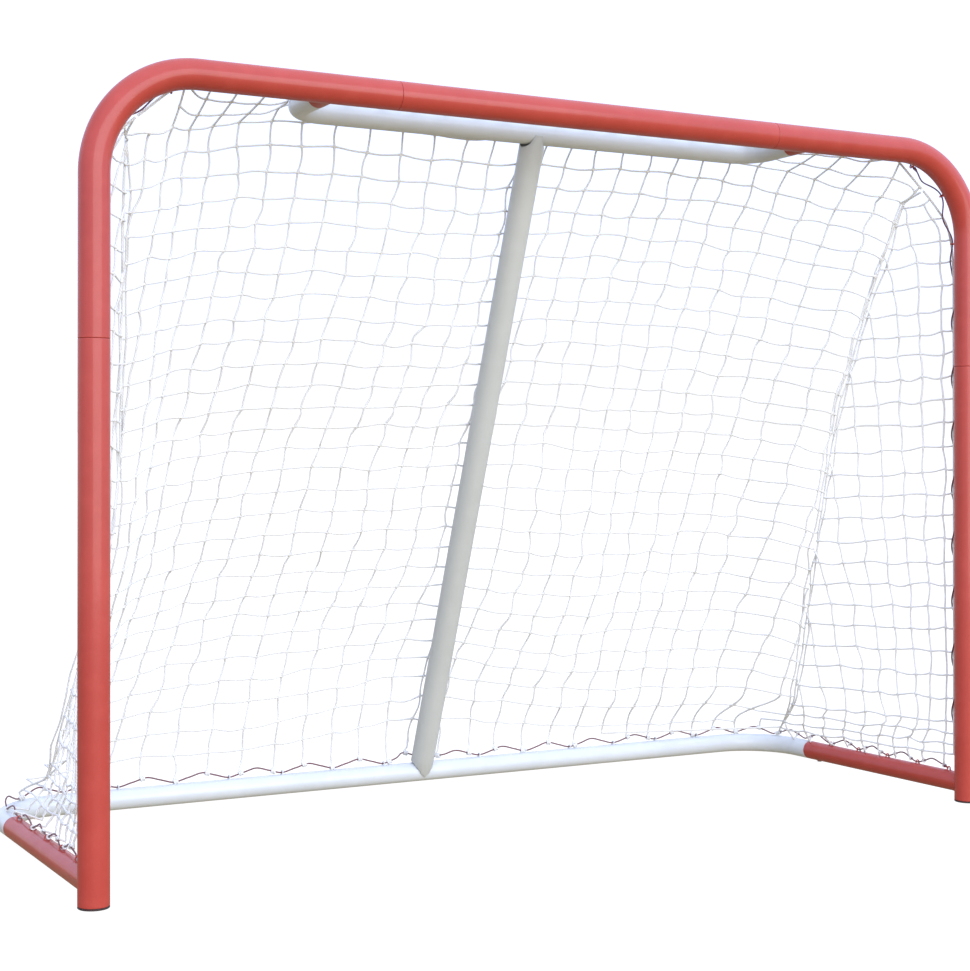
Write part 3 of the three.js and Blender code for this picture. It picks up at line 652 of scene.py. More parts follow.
for label, side, seam in (("left", -1, SEAM_LEFT_X), ("right", 1, SEAM_RIGHT_X)):
    x = side * POST_X
    loops = lows(0.100, POST_S1, POST_PEAK, PERIOD)
    # lower post
    b = Build()
    path = Path([[x, 0, 0], [x, 0, POST_SEAM_Z]])
    b.rings(
        rings_along(path, Y, wall(path, 0.0032, POST_SEAM_Z - GAP / 2, FRONT_R, WALL), SIDES),
        closed=True,
    )
    for s in loops:
        if s < POST_SEAM_Z - 0.008:
            p, t, out = post_line(side, s)
            lacing_arch(b, p[0], t[0], out[0], FRONT_R)
    b.object(label + "_lower_post_tube", RED, [label + "_lower_post"])
    # corner elbow with its necks
    b = Build()
    z0 = POST_SEAM_Z - SPIGOT - 0.005
    x1 = seam - side * (SPIGOT + 0.005)
    path = Path([[x, 0, z0], [x, 0, TOP_Z], [x1, 0, TOP_Z]], CORNER_R)
    s0 = POST_SEAM_Z + GAP / 2 - z0
    s1 = path.length - (SPIGOT + 0.005) - GAP / 2
    b.rings(
        rings_along(
            path, Y, wall(path, s0, s1, FRONT_R, WALL, SPIGOT, SPIGOT, FRONT_R - 0.0022), SIDES
        ),
        closed=True,
    )
    for s in loops:
        if s > POST_SEAM_Z + 0.008:
            p, t, out = post_line(side, s, True)
            lacing_arch(b, p[0], t[0], out[0], FRONT_R)
    for s in lows(-CROSS_S, CROSS_S, UPPER_LEFT_X, CROSS_PERIOD):
        if (s < seam - 0.008) if side < 0 else (s > seam + 0.008):
            lacing_arch(b, [s, 0, TOP_Z], X, CROSS_OUT, FRONT_R)
    b.object(label + "_corner_tube", RED, [label + "_corner_elbow"])
    # foot cap
    b = Build()
    lathe(
        b,
        [x, 0, 0],
        Z,
        [
            (0.0120, 0.0004),
            (0.0128, 0.0),
            (0.0208, 0.0),
            (0.0215, 0.00015),
            (0.0220, 0.0006),
            (0.02225, 0.0012),
            (0.02225, 0.0023),
            (0.0220, 0.00275),
            (0.0215, 0.0030),
            (0.0199, 0.0030),
            (0.0197, 0.0034),
            (0.0197, 0.0170),
            (0.0189, 0.0180),
            (0.0120, 0.0180),
        ],
        56,
    )
    b.object(label + "_foot_plug", RUBBER, [label + "_foot_cap"])

b = Build()
path = Path([[SEAM_LEFT_X, 0, TOP_Z], [SEAM_RIGHT_X, 0, TOP_Z]])
b.rings(
    rings_along(path, Y, wall(path, GAP / 2, path.length - GAP / 2, FRONT_R, WALL), SIDES),
    closed=True,
)
for s in lows(SEAM_LEFT_X + 0.008, SEAM_RIGHT_X - 0.008, UPPER_LEFT_X, CROSS_PERIOD):
    lacing_arch(b, [s, 0, TOP_Z], X, CROSS_OUT, FRONT_R)
b.object("crossbar_tube", RED, ["crossbar_centre"])

# base side tubes, shaped and welded to the posts
for label, side in (("left", -1), ("right", 1)):
    b = Build()
    path = Path([on_side(side, 0.004), on_side(side, STUB_Y)])
    R = rings_along(
        path, Z, wall(path, 0.0, path.length - GAP / 2, BAR_R, WALL), SIDES
    )
    saddle = np.sqrt(np.maximum(FRONT_R**2 - (R[..., 0] - side * POST_X) ** 2, 0)) - 0.0002
    R[..., 1] = np.maximum(R[..., 1], saddle)
    b.rings(R, closed=True)
    for y in lows(0.045, STUB_Y - 0.008, SIDE_PEAK[side], SIDE_PERIOD):
        lacing_arch(b, on_side(side, y), unit(on_side(side, 1) - on_side(side, 0)), Z, BAR_R)
    a = np.linspace(0, 2 * math.pi, 121)[:-1]
    loop = np.stack(
        [side * POST_X + BAR_R * np.cos(a), 0 * a, BASE_Z + BAR_R * np.sin(a)], -1
    )
    loop[:, 1] = np.sqrt(FRONT_R**2 - (BAR_R * np.cos(a)) ** 2) + 0.0006
    bead(b, loop, np.stack([np.cos(a), 0 * a, np.sin(a)], -1), 0.0020, 11 + side)
    b.object(label + "_base_side_tube", RED, [label + "_base_tube"])

# base back bar
b = Build()
lead = SPIGOT + 0.004
corners = [
    on_side(-1, STUB_Y - lead),
    on_side(-1, BASE_DEPTH),
    on_side(1, BASE_DEPTH),
    on_side(1, STUB_Y - lead),
]
path = Path(corners, BASE_BEND_R)
b.rings(
    rings_along(
        path,
        Z,
        wall(
            path,
            lead + GAP / 2,
            path.length - lead - GAP / 2,
            BAR_R,
            WALL,
            SPIGOT,
            SPIGOT,
            BAR_R - 0.0022,
        ),
        SIDES,
    ),
    closed=True,
)
BACK_S = BASE_BACK_X - BASE_BEND_R - 0.006
for x in lows(-BACK_S, BACK_S, BACK_PEAK, PERIOD):
    if abs(x) > 0.04:
        lacing_arch(b, [x, BASE_DEPTH, BASE_Z], X, Z, BAR_R)
b.object("base_rear_tube", WHITE, ["base_back_bar"])

# upper bar and its welded stubs
for label, x in (("left", UPPER_LEFT_X), ("right", UPPER_RIGHT_X)):
    b = Build()
    path = Path([[x, 0.004, upper_z(0.004)], [x, UPPER_STUB_Y, upper_z(UPPER_STUB_Y)]])
    R = rings_along(path, Z, wall(path, 0.0, path.length - GAP / 2, BAR_R, WALL), SIDES)
    saddle = np.sqrt(np.maximum(FRONT_R**2 - (R[..., 2] - TOP_Z) ** 2, 0)) - 0.0002
    R[..., 1] = np.maximum(R[..., 1], saddle)
    b.rings(R, closed=True)
    a = np.linspace(0, 2 * math.pi, 121)[:-1]
    loop = np.stack([x + BAR_R * np.cos(a), 0 * a, TOP_Z + BAR_R * np.sin(a)], -1)
    loop[:, 1] = np.sqrt(FRONT_R**2 - (BAR_R * np.sin(a)) ** 2) + 0.0006
    bead(b, loop, np.stack([np.cos(a), 0 * a, np.sin(a)], -1), 0.0019, 21 + int(x > 0))
    b.object(label + "_upper_stub_tube", RED, [label + "_upper_stub"])

b = Build()
lead = UPPER_SPIGOT + 0.003
y0 = UPPER_STUB_Y - lead
path = Path(
    [
        [UPPER_LEFT_X, y0, upper_z(y0)],
        [UPPER_LEFT_X, UPPER_DEPTH, upper_z(UPPER_DEPTH)],
        [UPPER_RIGHT_X, UPPER_DEPTH, upper_z(UPPER_DEPTH)],
        [UPPER_RIGHT_X, y0, upper_z(y0)],
    ],
    UPPER_BEND_R,
)
b.rings(
    rings_along(
        path,
        Z,
        wall(
            path,
            lead + GAP / 2,
            path.length - lead - GAP / 2,
            BAR_R,
            WALL,
            UPPER_SPIGOT,
            UPPER_SPIGOT,
            BAR_R - 0.0022,
        ),
        SIDES,
    ),
    closed=True,
)
b.object("upper_rear_tube", WHITE, ["upper_back_bar"])

# centre post: its ends are cut to fit the two bars, with a pointed lip over each
strut_top = np.array([0, UPPER_DEPTH, upper_z(UPPER_DEPTH)])
strut_foot = np.array([0, BASE_DEPTH, BASE_Z])
strut_dir = unit(strut_foot - strut_top)
strut_len = float(np.linalg.norm(strut_foot - strut_top))
strut_rear = unit(np.cross(X, strut_dir))
if strut_rear[1] < 0:
    strut_rear = -strut_rear
# tip, ridge and slope of each cut: how far the wall runs past the bar's axis
CUTS = ((0.0016, 0.0176, 2.45), (0.0021, 0.0021, 1.13))


def strut_end(cut, a, r):
    tip, ridge, slope = cut
    x = np.abs(r * np.sin(a))
    saddle = -np.sqrt(np.maximum(x**2 - 0.0084**2, 0)) - 0.0045
    return np.minimum(tip, np.maximum(ridge - slope * x, saddle))


n = 120
a = np.arange(n) / n * 2 * math.pi
# more lines where the lips are
w = np.sin(2 * a)
a = a - 0.28 * w
ring = []
for r, order in ((STRUT_R, 1), (STRUT_R - WALL, -1)):
    off = np.cos(a)[:, None] * strut_rear + np.sin(a)[:, None] * X
    e_top, e_foot = strut_end(CUTS[0], a, r), strut_end(CUTS[1], a, r)
    rows = []
    edge = [0.0006, 0.0002, 0.0] if order > 0 else [0.0, 0.0004]
    cut = [0.0, 0.00015, 0.0005] if order > 0 else [0.0003, 0.0]
    for d, c in zip(edge, cut):
        rows.append((-e_top + d, r - c if order > 0 else r + c))
    body = []
    for f in np.linspace(0.03, 0.97, 12):
        body.append((f * strut_len + 0 * a, r))
    ends = [(strut_len + e_foot - d, r - c if order > 0 else r + c) for d, c in zip(edge, cut)]
    top = rows[::-1] if order > 0 else rows
    full = (top + body + ends) if order > 0 else (ends[::1] + body[::-1] + rows[::-1])
    for s, rad in full:
        ring.append(strut_top + s[:, None] * strut_dir + rad * off)
b = Build()
R = np.array(ring)
# the rings run round X after the rear direction: turn them if that faces inwards
if np.dot(np.cross(strut_rear, X), strut_dir) < 0:
    R = R[:, ::-1]
b.rings(R, closed=True)
b.object("centre_strut", GREY, ["centre_post"], angle=50)


# ------------------------------------------------------------------ screws
def screw(name, at, out, head_r, head_h, shank_r, length):
    out = unit(out)
    n = unit(np.cross(out, X if abs(out[0]) < 0.8 else Y))
    m = np.cross(out, n)
    sides = 48
    a = np.arange(sides) / sides * 2 * math.pi
    rows = [
        (shank_r * 0.35, -length),
        (shank_r * 0.75, -length + shank_r * 0.35),
    ]
    z = -length + shank_r * 0.6
    while z < -0.0006:  # thread
        rows += [(shank_r, z), (shank_r * 0.84, z + 0.00035)]
        z += 0.0007
    rows += [(shank_r, 0.0), (head_r * 0.97, 0.0), (head_r, head_h * 0.12), (head_r, head_h * 0.35)]
    prof = rows + [
        (head_r * f, head_h * (0.35 + 0.65 * math.sqrt(max(0, 1 - f**2.6))))
        for f in (0.985, 0.95, 0.88, 0.80, 0.72, 0.64, 0.56, 0.50, 0.44, 0.38, 0.32, 0.26, 0.2, 0.14, 0.08, 0.03)
    ]
    R = []
    w, L, D = head_r * 0.15, head_r * 0.62, head_h * 0.55
    for i, (r, h) in enumerate(prof):
        px, py = r * np.cos(a), r * np.sin(a)
        hh = np.full(sides, h)
        if i > len(rows) + 2:
            ax, ay = np.abs(px), np.abs(py)
            inside = ((ax < w) & (ay < L)) | ((ay < w) & (ax < L))
            hh = hh - D * inside * np.clip(1.25 - r / L, 0.25, 1)
        R.append(
            np.asarray(at) + out * (GAP + hh)[:, None] + px[:, None] * n + py[:, None] * m
        )
    b = Build()
    b.rings(np.array(R), closed=False)
    b.object(name + "_head", ZINC, [name], angle=30)


screw("left_post_screw", [-POST_X, FRONT_R, POST_SEAM_Z - SPIGOT / 2], Y, 0.0054, 0.003, 0.0029, 0.007)
screw("right_post_screw", [POST_X, FRONT_R, POST_SEAM_Z - SPIGOT / 2], Y, 0.0054, 0.003, 0.0029, 0.007)
screw("crossbar_left_screw", [SEAM_LEFT_X + SPIGOT / 2, FRONT_R, TOP_Z], Y, 0.0054, 0.003, 0.0029, 0.007)
screw("crossbar_right_screw", [SEAM_RIGHT_X - SPIGOT / 2, FRONT_R, TOP_Z], Y, 0.0054, 0.003, 0.0029, 0.007)
for label, side in (("left", -1), ("right", 1)):
    c = on_side(side, STUB_Y - SPIGOT / 2, BASE_Z - BAR_R)
    screw(label + "_base_screw", c, -Z, 0.0048, 0.002, 0.0025, 0.006)
for label, x in (("left", UPPER_LEFT_X), ("right", UPPER_RIGHT_X)):
    screw(
        label + "_upper_screw",
        [x, 0.036, upper_z(0.036) + BAR_R + 0.0001],
        Z,
        0.0044,
        0.0010,
        0.0018,
        0.005,
    )
screw("centre_post_top_screw", strut_top + strut_rear * STRUT_R, strut_rear, 0.0044, 0.001, 0.0018, 0.005)
screw(
    "centre_post_foot_screw",
    strut_foot - 0.007 * strut_dir + strut_rear * STRUT_R,
    strut_rear,
    0.0044,
    0.001,
    0.0018,
    0.0066,
)


# ------------------------------------------------------------------ lacing cords
def wave_h(s, peak, period, low, high):
    return low + (high - low) * (1 + np.cos(2 * math.pi * (s - peak) / period)) / 2


def lace(name, P, node, seed):
    """A twisted cord along P, tied off with a small knot at each end."""
    P = np.asarray(P, float)
    al = np.r_[0, np.cumsum(np.linalg.norm(np.diff(P, axis=0), axis=1))]
    n = int(al[-1] / 0.0021)
    s = np.linspace(0, al[-1], n + 1)
    P = np.stack([np.interp(s, al, P[:, k]) for k in range(3)], -1)
    r = np.full(len(P), CORD_R * 0.86)
    for end in (s, al[-1] - s):
        r += 0.0016 * np.exp(-(((end - 0.010) / 0.0026) ** 2))
        r += 0.0010 * np.exp(-(((end - 0.0145) / 0.0020) ** 2))
        r *= np.clip(0.55 + end / 0.002, 0, 1)
    R, along = rod_rings(P, r, 12, twist=2 * math.pi / 0.012, lobes=3, depth=0.16)
    b = Build()
    b.rings(R, along=along)
    return b.object(name, LACE, [node], angle=70)


for label, side in (("left", -1), ("right", 1)):
    s = np.linspace(0.1206, POST_S1, 620)
    s = s[s <= POST_S1 + 0.001]
    p, t, out = post_line(side, s, True)
    h = wave_h(s, POST_PEAK, PERIOD, CORD_LOW, CORD_HIGH)
    rng = np.random.default_rng(31 + side)
    sw = 0.0040 * np.sin(2 * math.pi * (s - POST_PEAK) / PERIOD)
    cross = np.cross(t, out)
    lace(
        label + "_post_cord",
        p + out * (FRONT_R + h)[:, None] + cross * sw[:, None],
        label + "_post_lacing",
        31,
    )

s = np.linspace(-0.638, 0.626, 640)
q = CROSS_PERIOD / 4
s = s[(s >= UPPER_LEFT_X - 7 * q - 1e-4) & (s <= UPPER_LEFT_X + 43 * q + 1e-4)]
h = wave_h(s, UPPER_LEFT_X, CROSS_PERIOD, CORD_LOW, CROSS_HIGH)
P = np.stack([s, 0 * s, 0 * s + TOP_Z], -1) + CROSS_OUT * (FRONT_R + h)[:, None]
P += np.cross(X, CROSS_OUT) * (0.0040 * np.sin(2 * math.pi * (s - UPPER_LEFT_X) / CROSS_PERIOD))[:, None]
lace("crossbar_cord", P, "crossbar_lacing", 32)


def quarter_points(side):
    """The base cord's quarter waves on one side tube and round its bend, from the post."""
    q = SIDE_PERIOD / 4
    peak = SIDE_PEAK[side]
    start = 0.048 if side < 0 else 0.040
    last = peak + (4 if side < 0 else 4.5) * SIDE_PERIOD
    count = 12 if side < 0 else 10
    x0 = abs(BACK_PEAK - 6 * PERIOD) if side < 0 else BACK_PEAK + 7 * PERIOD
    pts, k = [], math.ceil((start - peak) / q)
    while peak + k * q <= last + 0.001:
        y = peak + k * q
        w = (1 + math.cos(k * math.pi / 2)) / 2
        pts.append([*on_side(side, y)[:2], w])
        k += 1
    phase = math.pi if side > 0 else 0.0
    straight = BASE_DEPTH - BASE_BEND_R - last
    arc = BASE_BEND_R * math.pi / 2
    total = straight + arc + (BASE_BACK_X - BASE_BEND_R - x0)
    for k in range(1, count):
        s = total * k / count
        w = (1 + math.cos(k * math.pi / 2 + phase)) / 2
        if s < straight:
            pts.append([*on_side(side, last + s)[:2], w])
        elif s < straight + arc:
            t = (s - straight) / BASE_BEND_R
            pts.append(
                [
                    side * (BASE_BACK_X - BASE_BEND_R + BASE_BEND_R * math.cos(t)),
                    BASE_DEPTH - BASE_BEND_R + BASE_BEND_R * math.sin(t),
                    w,
                ]
            )
        else:
            pts.append([side * (BASE_BACK_X - BASE_BEND_R - (s - straight - arc)), BASE_DEPTH, w])
    return pts


pts = quarter_points(-1)
k = 0
while BACK_PEAK - 6 * PERIOD + k * PERIOD / 4 <= BACK_PEAK + 7 * PERIOD + 1e-4:
    x = BACK_PEAK - 6 * PERIOD + k * PERIOD / 4
    y = BASE_DEPTH
    if abs(x) < 0.060:
        y += 0.023 if abs(x) < 0.030 else 0.004
    pts.append([x, y, (1 + math.cos(k * math.pi / 2)) / 2])
    k += 1
pts += quarter_points(1)[::-1]
LACE_BASE = smooth_line(pts, 10)
# it goes to and fro through the net's edge, so it sits a little inside it and outside it
d = tangents(LACE_BASE * [1, 1, 0])
al = np.r_[0, np.cumsum(np.linalg.norm(np.diff(LACE_BASE[:, :2], axis=0), axis=1))]
off = 0.0010 * np.sin(2 * math.pi * al / 0.0503 + 0.5)
P = LACE_BASE.copy()
P[:, :2] += np.stack([-d[:, 1], d[:, 0]], -1) * off[:, None]
P[:, 2] = BASE_Z + BAR_R + CORD_LOW + (CORD_HIGH - CORD_LOW) * LACE_BASE[:, 2]
lace("base_cord", P, "base_lacing", 33)
BASE_CORD = P.copy()

# ------------------------------------------------------------------ net
# Knots of the back net as a smooth sheet: rows down, columns across, in millimetres.
GRID = MM * np.array([
    [(-1046, -250, 1331), (-934, -171, 1351), (-822, -94, 1373), (-707, -21, 1398), (-577, 41, 1426), (-424, 86, 1456), (-249, 108, 1480), (-63, 105, 1490), (121, 85, 1486), (294, 51, 1469), (454, 7, 1438), (605, -43, 1399), (751, -94, 1360), (895, -143, 1322), (1036, -193, 1288), (1177, -245, 1254)],
    [(-1040, -240, 1182), (-926, -147, 1208), (-811, -56, 1232), (-698, 29, 1257), (-583, 104, 1294), (-421, 148, 1326), (-237, 153, 1334), (-56, 146, 1337), (116, 134, 1338), (282, 119, 1333), (440, 93, 1316), (593, 45, 1277), (738, -13, 1232), (875, -75, 1192), (1009, -142, 1152), (1143, -210, 1112)],
    [(-1033, -228, 1032), (-923, -121, 1064), (-808, -16, 1093), (-687, 82, 1117), (-579, 164, 1166), (-406, 207, 1196), (-224, 188, 1182), (-49, 187, 1181), (99, 185, 1191), (269, 187, 1192), (424, 178, 1192), (581, 137, 1157), (726, 72, 1108), (855, -9, 1063), (982, -92, 1016), (1109, -174, 968)],
    [(-1026, -209, 881), (-923, -92, 915), (-821, 28, 949), (-707, 151, 972), (-561, 222, 1013), (-395, 252, 1036), (-233, 222, 1029), (-59, 236, 1029), (67, 248, 1045), (247, 252, 1045), (407, 244, 1041), (571, 213, 1023), (718, 143, 985), (837, 48, 933), (957, -43, 879), (1078, -135, 823)],
    [(-1027, -178, 730), (-923, -59, 760), (-822, 63, 790), (-723, 191, 825), (-583, 281, 866), (-415, 297, 883), (-258, 270, 882), (-69, 290, 873), (53, 303, 896), (226, 304, 900), (388, 297, 895), (552, 267, 878), (696, 200, 846), (817, 104, 795), (935, 8, 737), (1052, -89, 678)],
    [(-1041, -129, 582), (-929, -18, 610), (-819, 94, 638), (-720, 207, 675), (-608, 335, 716), (-433, 364, 737), (-281, 332, 738), (-94, 344, 736), (43, 355, 755), (215, 346, 745), (372, 347, 747), (539, 320, 733), (681, 253, 701), (802, 161, 648), (917, 63, 591), (1032, -36, 533)],
    [(-1070, -61, 440), (-950, 38, 468), (-833, 137, 498), (-726, 242, 533), (-625, 385, 566), (-454, 435, 591), (-306, 398, 604), (-138, 399, 603), (12, 404, 612), (201, 374, 594), (359, 389, 595), (528, 376, 588), (673, 306, 563), (788, 218, 501), (904, 122, 446), (1021, 27, 392)],
    [(-1115, 23, 304), (-989, 116, 332), (-865, 210, 361), (-744, 314, 391), (-626, 446, 413), (-470, 508, 441), (-306, 477, 450), (-120, 471, 446), (36, 457, 457), (200, 411, 435), (356, 431, 438), (525, 437, 434), (670, 371, 422), (778, 275, 361), (900, 187, 307), (1025, 105, 257)],
    [(-1175, 126, 174), (-1043, 214, 199), (-911, 305, 223), (-775, 404, 243), (-639, 505, 261), (-505, 560, 303), (-337, 553, 312), (-171, 535, 328), (7, 525, 321), (181, 482, 274), (345, 475, 285), (507, 497, 286), (671, 442, 274), (788, 340, 221), (914, 269, 176), (1044, 201, 132)],
    [(-1247, 247, 48), (-1108, 325, 67), (-969, 405, 86), (-832, 483, 105), (-700, 549, 130), (-540, 597, 145), (-353, 577, 140), (-191, 575, 158), (-18, 590, 196), (157, 569, 160), (334, 539, 134), (496, 538, 133), (661, 515, 133), (806, 442, 93), (942, 378, 52), (1077, 317, 14)],
    [(-1328, 381, -75), (-1179, 442, -63), (-1031, 502, -51), (-883, 558, -39), (-728, 603, -29), (-546, 627, -31), (-352, 602, -28), (-170, 602, -18), (-8, 626, 4), (156, 622, -9), (349, 598, -35), (536, 588, -48), (693, 584, -45), (837, 546, -53), (979, 497, -75), (1120, 448, -99)],
    [(-1417, 522, -195), (-1253, 559, -192), (-1090, 595, -190), (-922, 626, -188), (-744, 646, -191), (-553, 652, -196), (-358, 644, -197), (-171, 645, -194), (4, 656, -191), (180, 660, -196), (368, 655, -207), (553, 651, -215), (718, 649, -213), (871, 637, -208), (1020, 615, -207), (1169, 588, -210)],
    [(-1508, 665, -315), (-1328, 677, -322), (-1145, 686, -330), (-956, 690, -340), (-760, 688, -350), (-562, 684, -360), (-366, 684, -367), (-172, 686, -374), (18, 690, -381), (204, 698, -383), (388, 707, -383), (568, 713, -382), (740, 719, -375), (904, 725, -361), (1063, 729, -343), (1219, 730, -323)],
], float)
COL_R, ROW_R, ROPE_R = 0.00185, 0.00165, 0.0020
CELL = np.array([0.0, 0.06, 0.14, 0.30, 0.50, 0.70, 0.86, 0.94])
KNOB = np.array([1.38, 1.22, 1.0, 0.96, 0.94, 0.96, 1.0, 1.22])
rng = np.random.default_rng(7)
KNOT = rng.standard_normal((80, 80, 3)) * [0.0020, 0.0028, 0.0020]
BOW = rng.standard_normal((2, 80, 80, 3)) * 0.0017


def ease(t):
    t = np.clip(t, 0, 1)
    return t * t * (3 - 2 * t)


def weights(u):
    k = np.floor(u).astype(int)
    t = u - k
    return k, np.stack(
        [
            (1 - t) ** 3 / 6,
            (3 * t**3 - 6 * t**2 + 4) / 6,
            (-3 * t**3 + 3 * t**2 + 3 * t + 1) / 6,
            t**3 / 6,
        ],
        -1,
    )


def sheet(i, j):
    """The back net at row i and column j, without its small irregularities."""
    i, j = np.broadcast_arrays(np.asarray(i, float), np.asarray(j, float))
    ki, wi = weights(np.clip((i + 8) / 4, 0, 10 - 1e-9))
    kj, wj = weights(np.clip((j + 12) / 3, 0, 13 - 1e-9))
    out = 0
    for a in range(4):
        for b in range(4):
            out = out + (wi[..., a] * wj[..., b])[..., None] * GRID[ki + a, kj + b]
    return out


def knot(i, j, shift=0):
    i0, j0 = np.floor(i).astype(int), np.floor(j).astype(int)
    ti, tj = ease(i - i0)[..., None], ease(j - j0)[..., None]
    i0, j0 = i0 + shift, j0 + shift
    a, b = KNOT[i0 % 80, j0 % 80], KNOT[i0 % 80, (j0 + 1) % 80]
    c, d = KNOT[(i0 + 1) % 80, j0 % 80], KNOT[(i0 + 1) % 80, (j0 + 1) % 80]
    return (a * (1 - tj) + b * tj) * (1 - ti) + (c * (1 - tj) + d * tj) * ti


def bow(kind, i, j, shift=0):
    i0, j0 = np.floor(i).astype(int), np.floor(j).astype(int)
    f = (i - i0) if kind == 0 else (j - j0)
    return np.sin(math.pi * f)[..., None] * BOW[kind, (i0 + shift) % 80, (j0 + shift) % 80]


# where the back net folds round to the side nets: height, |x|, y
FOLD = [
    (0.20, 0.732, 0.392), (0.28, 0.722, 0.362), (0.36, 0.706, 0.330), (0.44, 0.690, 0.292),
    (0.52, 0.686, 0.264), (0.60, 0.688, 0.244), (0.68, 0.691, 0.230), (0.76, 0.696, 0.205),
    (0.84, 0.704, 0.180), (0.92, 0.711, 0.150), (1.00, 0.718, 0.115), (1.05, 0.7235, 0.096),
    (1.08, 0.729, 0.085), (1.096, 0.731, 0.037),
]
CREASE = {
    1: np.array([(0.050, 0.792, 0.535), (0.066, 0.782, 0.513), (0.10, 0.755, 0.458), (0.14, 0.742, 0.420)] + FOLD),
    -1: np.array([(0.050, 0.757, 0.578), (0.066, 0.753, 0.570), (0.10, 0.736, 0.469), (0.14, 0.736, 0.430)] + FOLD),
}


def crease(side, z):
    c = CREASE[side]
    return np.interp(z, c[:, 0], c[:, 1]), np.interp(z, c[:, 0], c[:, 2])


def fold_point(side, z):
    cx, cy = crease(side, z)
    return np.array([side * float(cx), float(cy), float(z)])


hem_line = BASE_CORD[BASE_CORD[:, 1] > 0.47]
hem_line = hem_line[np.argsort(hem_line[:, 0])]


def hem(x):
    return (
        np.interp(x, hem_line[:, 0], hem_line[:, 1]),
        np.interp(x, hem_line[:, 0], hem_line[:, 2]),
    )


def back(i, j, kind):
    i, j = np.broadcast_arrays(np.asarray(i, float), np.asarray(j, float))
    P = sheet(i, j) + knot(i, j) + bow(kind, i, j)
    if kind == 1:
        P[..., 2] -= 0.0016 * np.sin(math.pi * (j - np.floor(j)))
    for side in (-1, 1):
        cx, cy = crease(side, P[..., 2])
        near = ease((side * P[..., 0] - (cx - 0.12)) / 0.12)
        P[..., 1] += near * (cy - P[..., 1])
    hy, hz = hem(P[..., 0])
    low = ease((0.15 - P[..., 2]) / 0.09)
    P[..., 1] += low * (hy + 0.003 - P[..., 1])
    # it hangs on the rear of the centre post
    x = P[..., 0]
    front = 0.172 + (1.156 - P[..., 2]) * 0.37182 + np.sqrt(np.maximum(0.0232**2 - x**2, 0)) / 0.9373
    P[..., 1] = np.where(np.abs(x) < 0.0232, np.maximum(P[..., 1], front), P[..., 1])
    return P


def runs(mask):
    out, k = [], 0
    n = len(mask)
    while k < n:
        if mask[k]:
            e = k
            while e < n and mask[e]:
                e += 1
            if e - k > 2:
                out.append(np.arange(k, e))
            k = e
        else:
            k += 1
    return out


def strand(b, P, r, ref):
    P = np.asarray(P, float)
    r = np.broadcast_to(np.asarray(r, float), (len(P),)).copy()
    keep = np.r_[True, np.linalg.norm(np.diff(P, axis=0), axis=1) > 4e-4]
    R, al = rod_rings(P[keep], r[keep], 6, ref=ref)
    b.rings(R, along=al)


BASE_T = tangents(BASE_CORD)


def hitch(at, away, turns=1.1, width=0.0015):
    """Turns of the twine round the base cord, nearest to the given point."""
    k = int(np.argmin(((BASE_CORD - at) ** 2).sum(1)))
    c, t = BASE_CORD[k], BASE_T[k]
    up = unit(Z - (Z @ t) * t)
    out = unit(away - (away @ t) * t - (away @ up) * up)
    a = np.radians(np.arange(70, 70 + 360 * turns, 24.0))[:, None]
    drift = np.linspace(-width, width, len(a))[:, None]
    return c + 0.0030 * (np.cos(a) * out + np.sin(a) * up) + drift * t, t


def out_of_base(P):
    """Gives the points back unchanged; strands near the base frame are not moved by it."""
    return P


b_back = Build()
i = (np.arange(-3, 27)[:, None] + CELL).ravel()
ri = COL_R * np.tile(KNOB, 30)
for J in range(-12, 26):
    P = back(i, J, 0)
    hy, hz = hem(P[:, 0])
    inside = P[:, 2] > hz + 0.0045
    for side in (-1, 1):
        cx, cy = crease(side, P[:, 2])
        inside &= side * P[:, 0] < cx - 0.0015
    for run in runs(inside):
        Q, r = list(P[run]), list(ri[run])
        first, last = run[0], run[-1]
        if first > 0:
            q = P[first]
            Q.insert(0, fold_point(1 if q[0] > 0 else -1, q[2] + 0.004))
            r.insert(0, COL_R)
        if last < len(i) - 1:
            q = P[last]
            hy1, hz1 = hem(q[0])
            if q[2] < hz1 + 0.013:
                L, t = hitch(q, Y, 3.1, 0.0042)
                Q.append(L[0])
                r.append(COL_R)
                strand(b_back, L, COL_R * 0.95, t)
            else:
                Q.append(fold_point(1 if q[0] > 0 else -1, q[2] - 0.004))
                r.append(COL_R)
        strand(b_back, Q, r, X)
j = (np.arange(-14, 27)[:, None] + CELL).ravel()
rj = ROW_R * np.tile(KNOB, 41)
for I in range(-3, 26):
    P = back(I, j, 1)
    hy, hz = hem(P[:, 0])
    inside = P[:, 2] > hz + 0.010
    for side in (-1, 1):
        cx, cy = crease(side, P[:, 2])
        inside &= side * P[:, 0] < cx - 0.0015
    for run in runs(inside):
        run = list(run)
        ends = []
        for k, step in ((run[0], -1), (run[-1], 1)):
            q = P[k]
            side = 1 if q[0] > 0 else -1
            cx, cy = crease(side, q[2])
            ends.append(side * q[0] > float(cx) - 0.02)
        if not ends[0]:
            while len(run) > 2 and run[0] % 8:
                run.pop(0)
        if not ends[1]:
            while len(run) > 2 and run[-1] % 8:
                run.pop()
        if len(run) < 4:
            continue
        Q, r = list(P[run]), list(rj[run])
        if ends[0]:
            Q.insert(0, fold_point(1 if Q[0][0] > 0 else -1, Q[0][2]))
            r.insert(0, ROW_R)
        if ends[1]:
            Q.append(fold_point(1 if Q[-1][0] > 0 else -1, Q[-1][2]))
            r.append(ROW_R)
        strand(b_back, Q, r, Z)
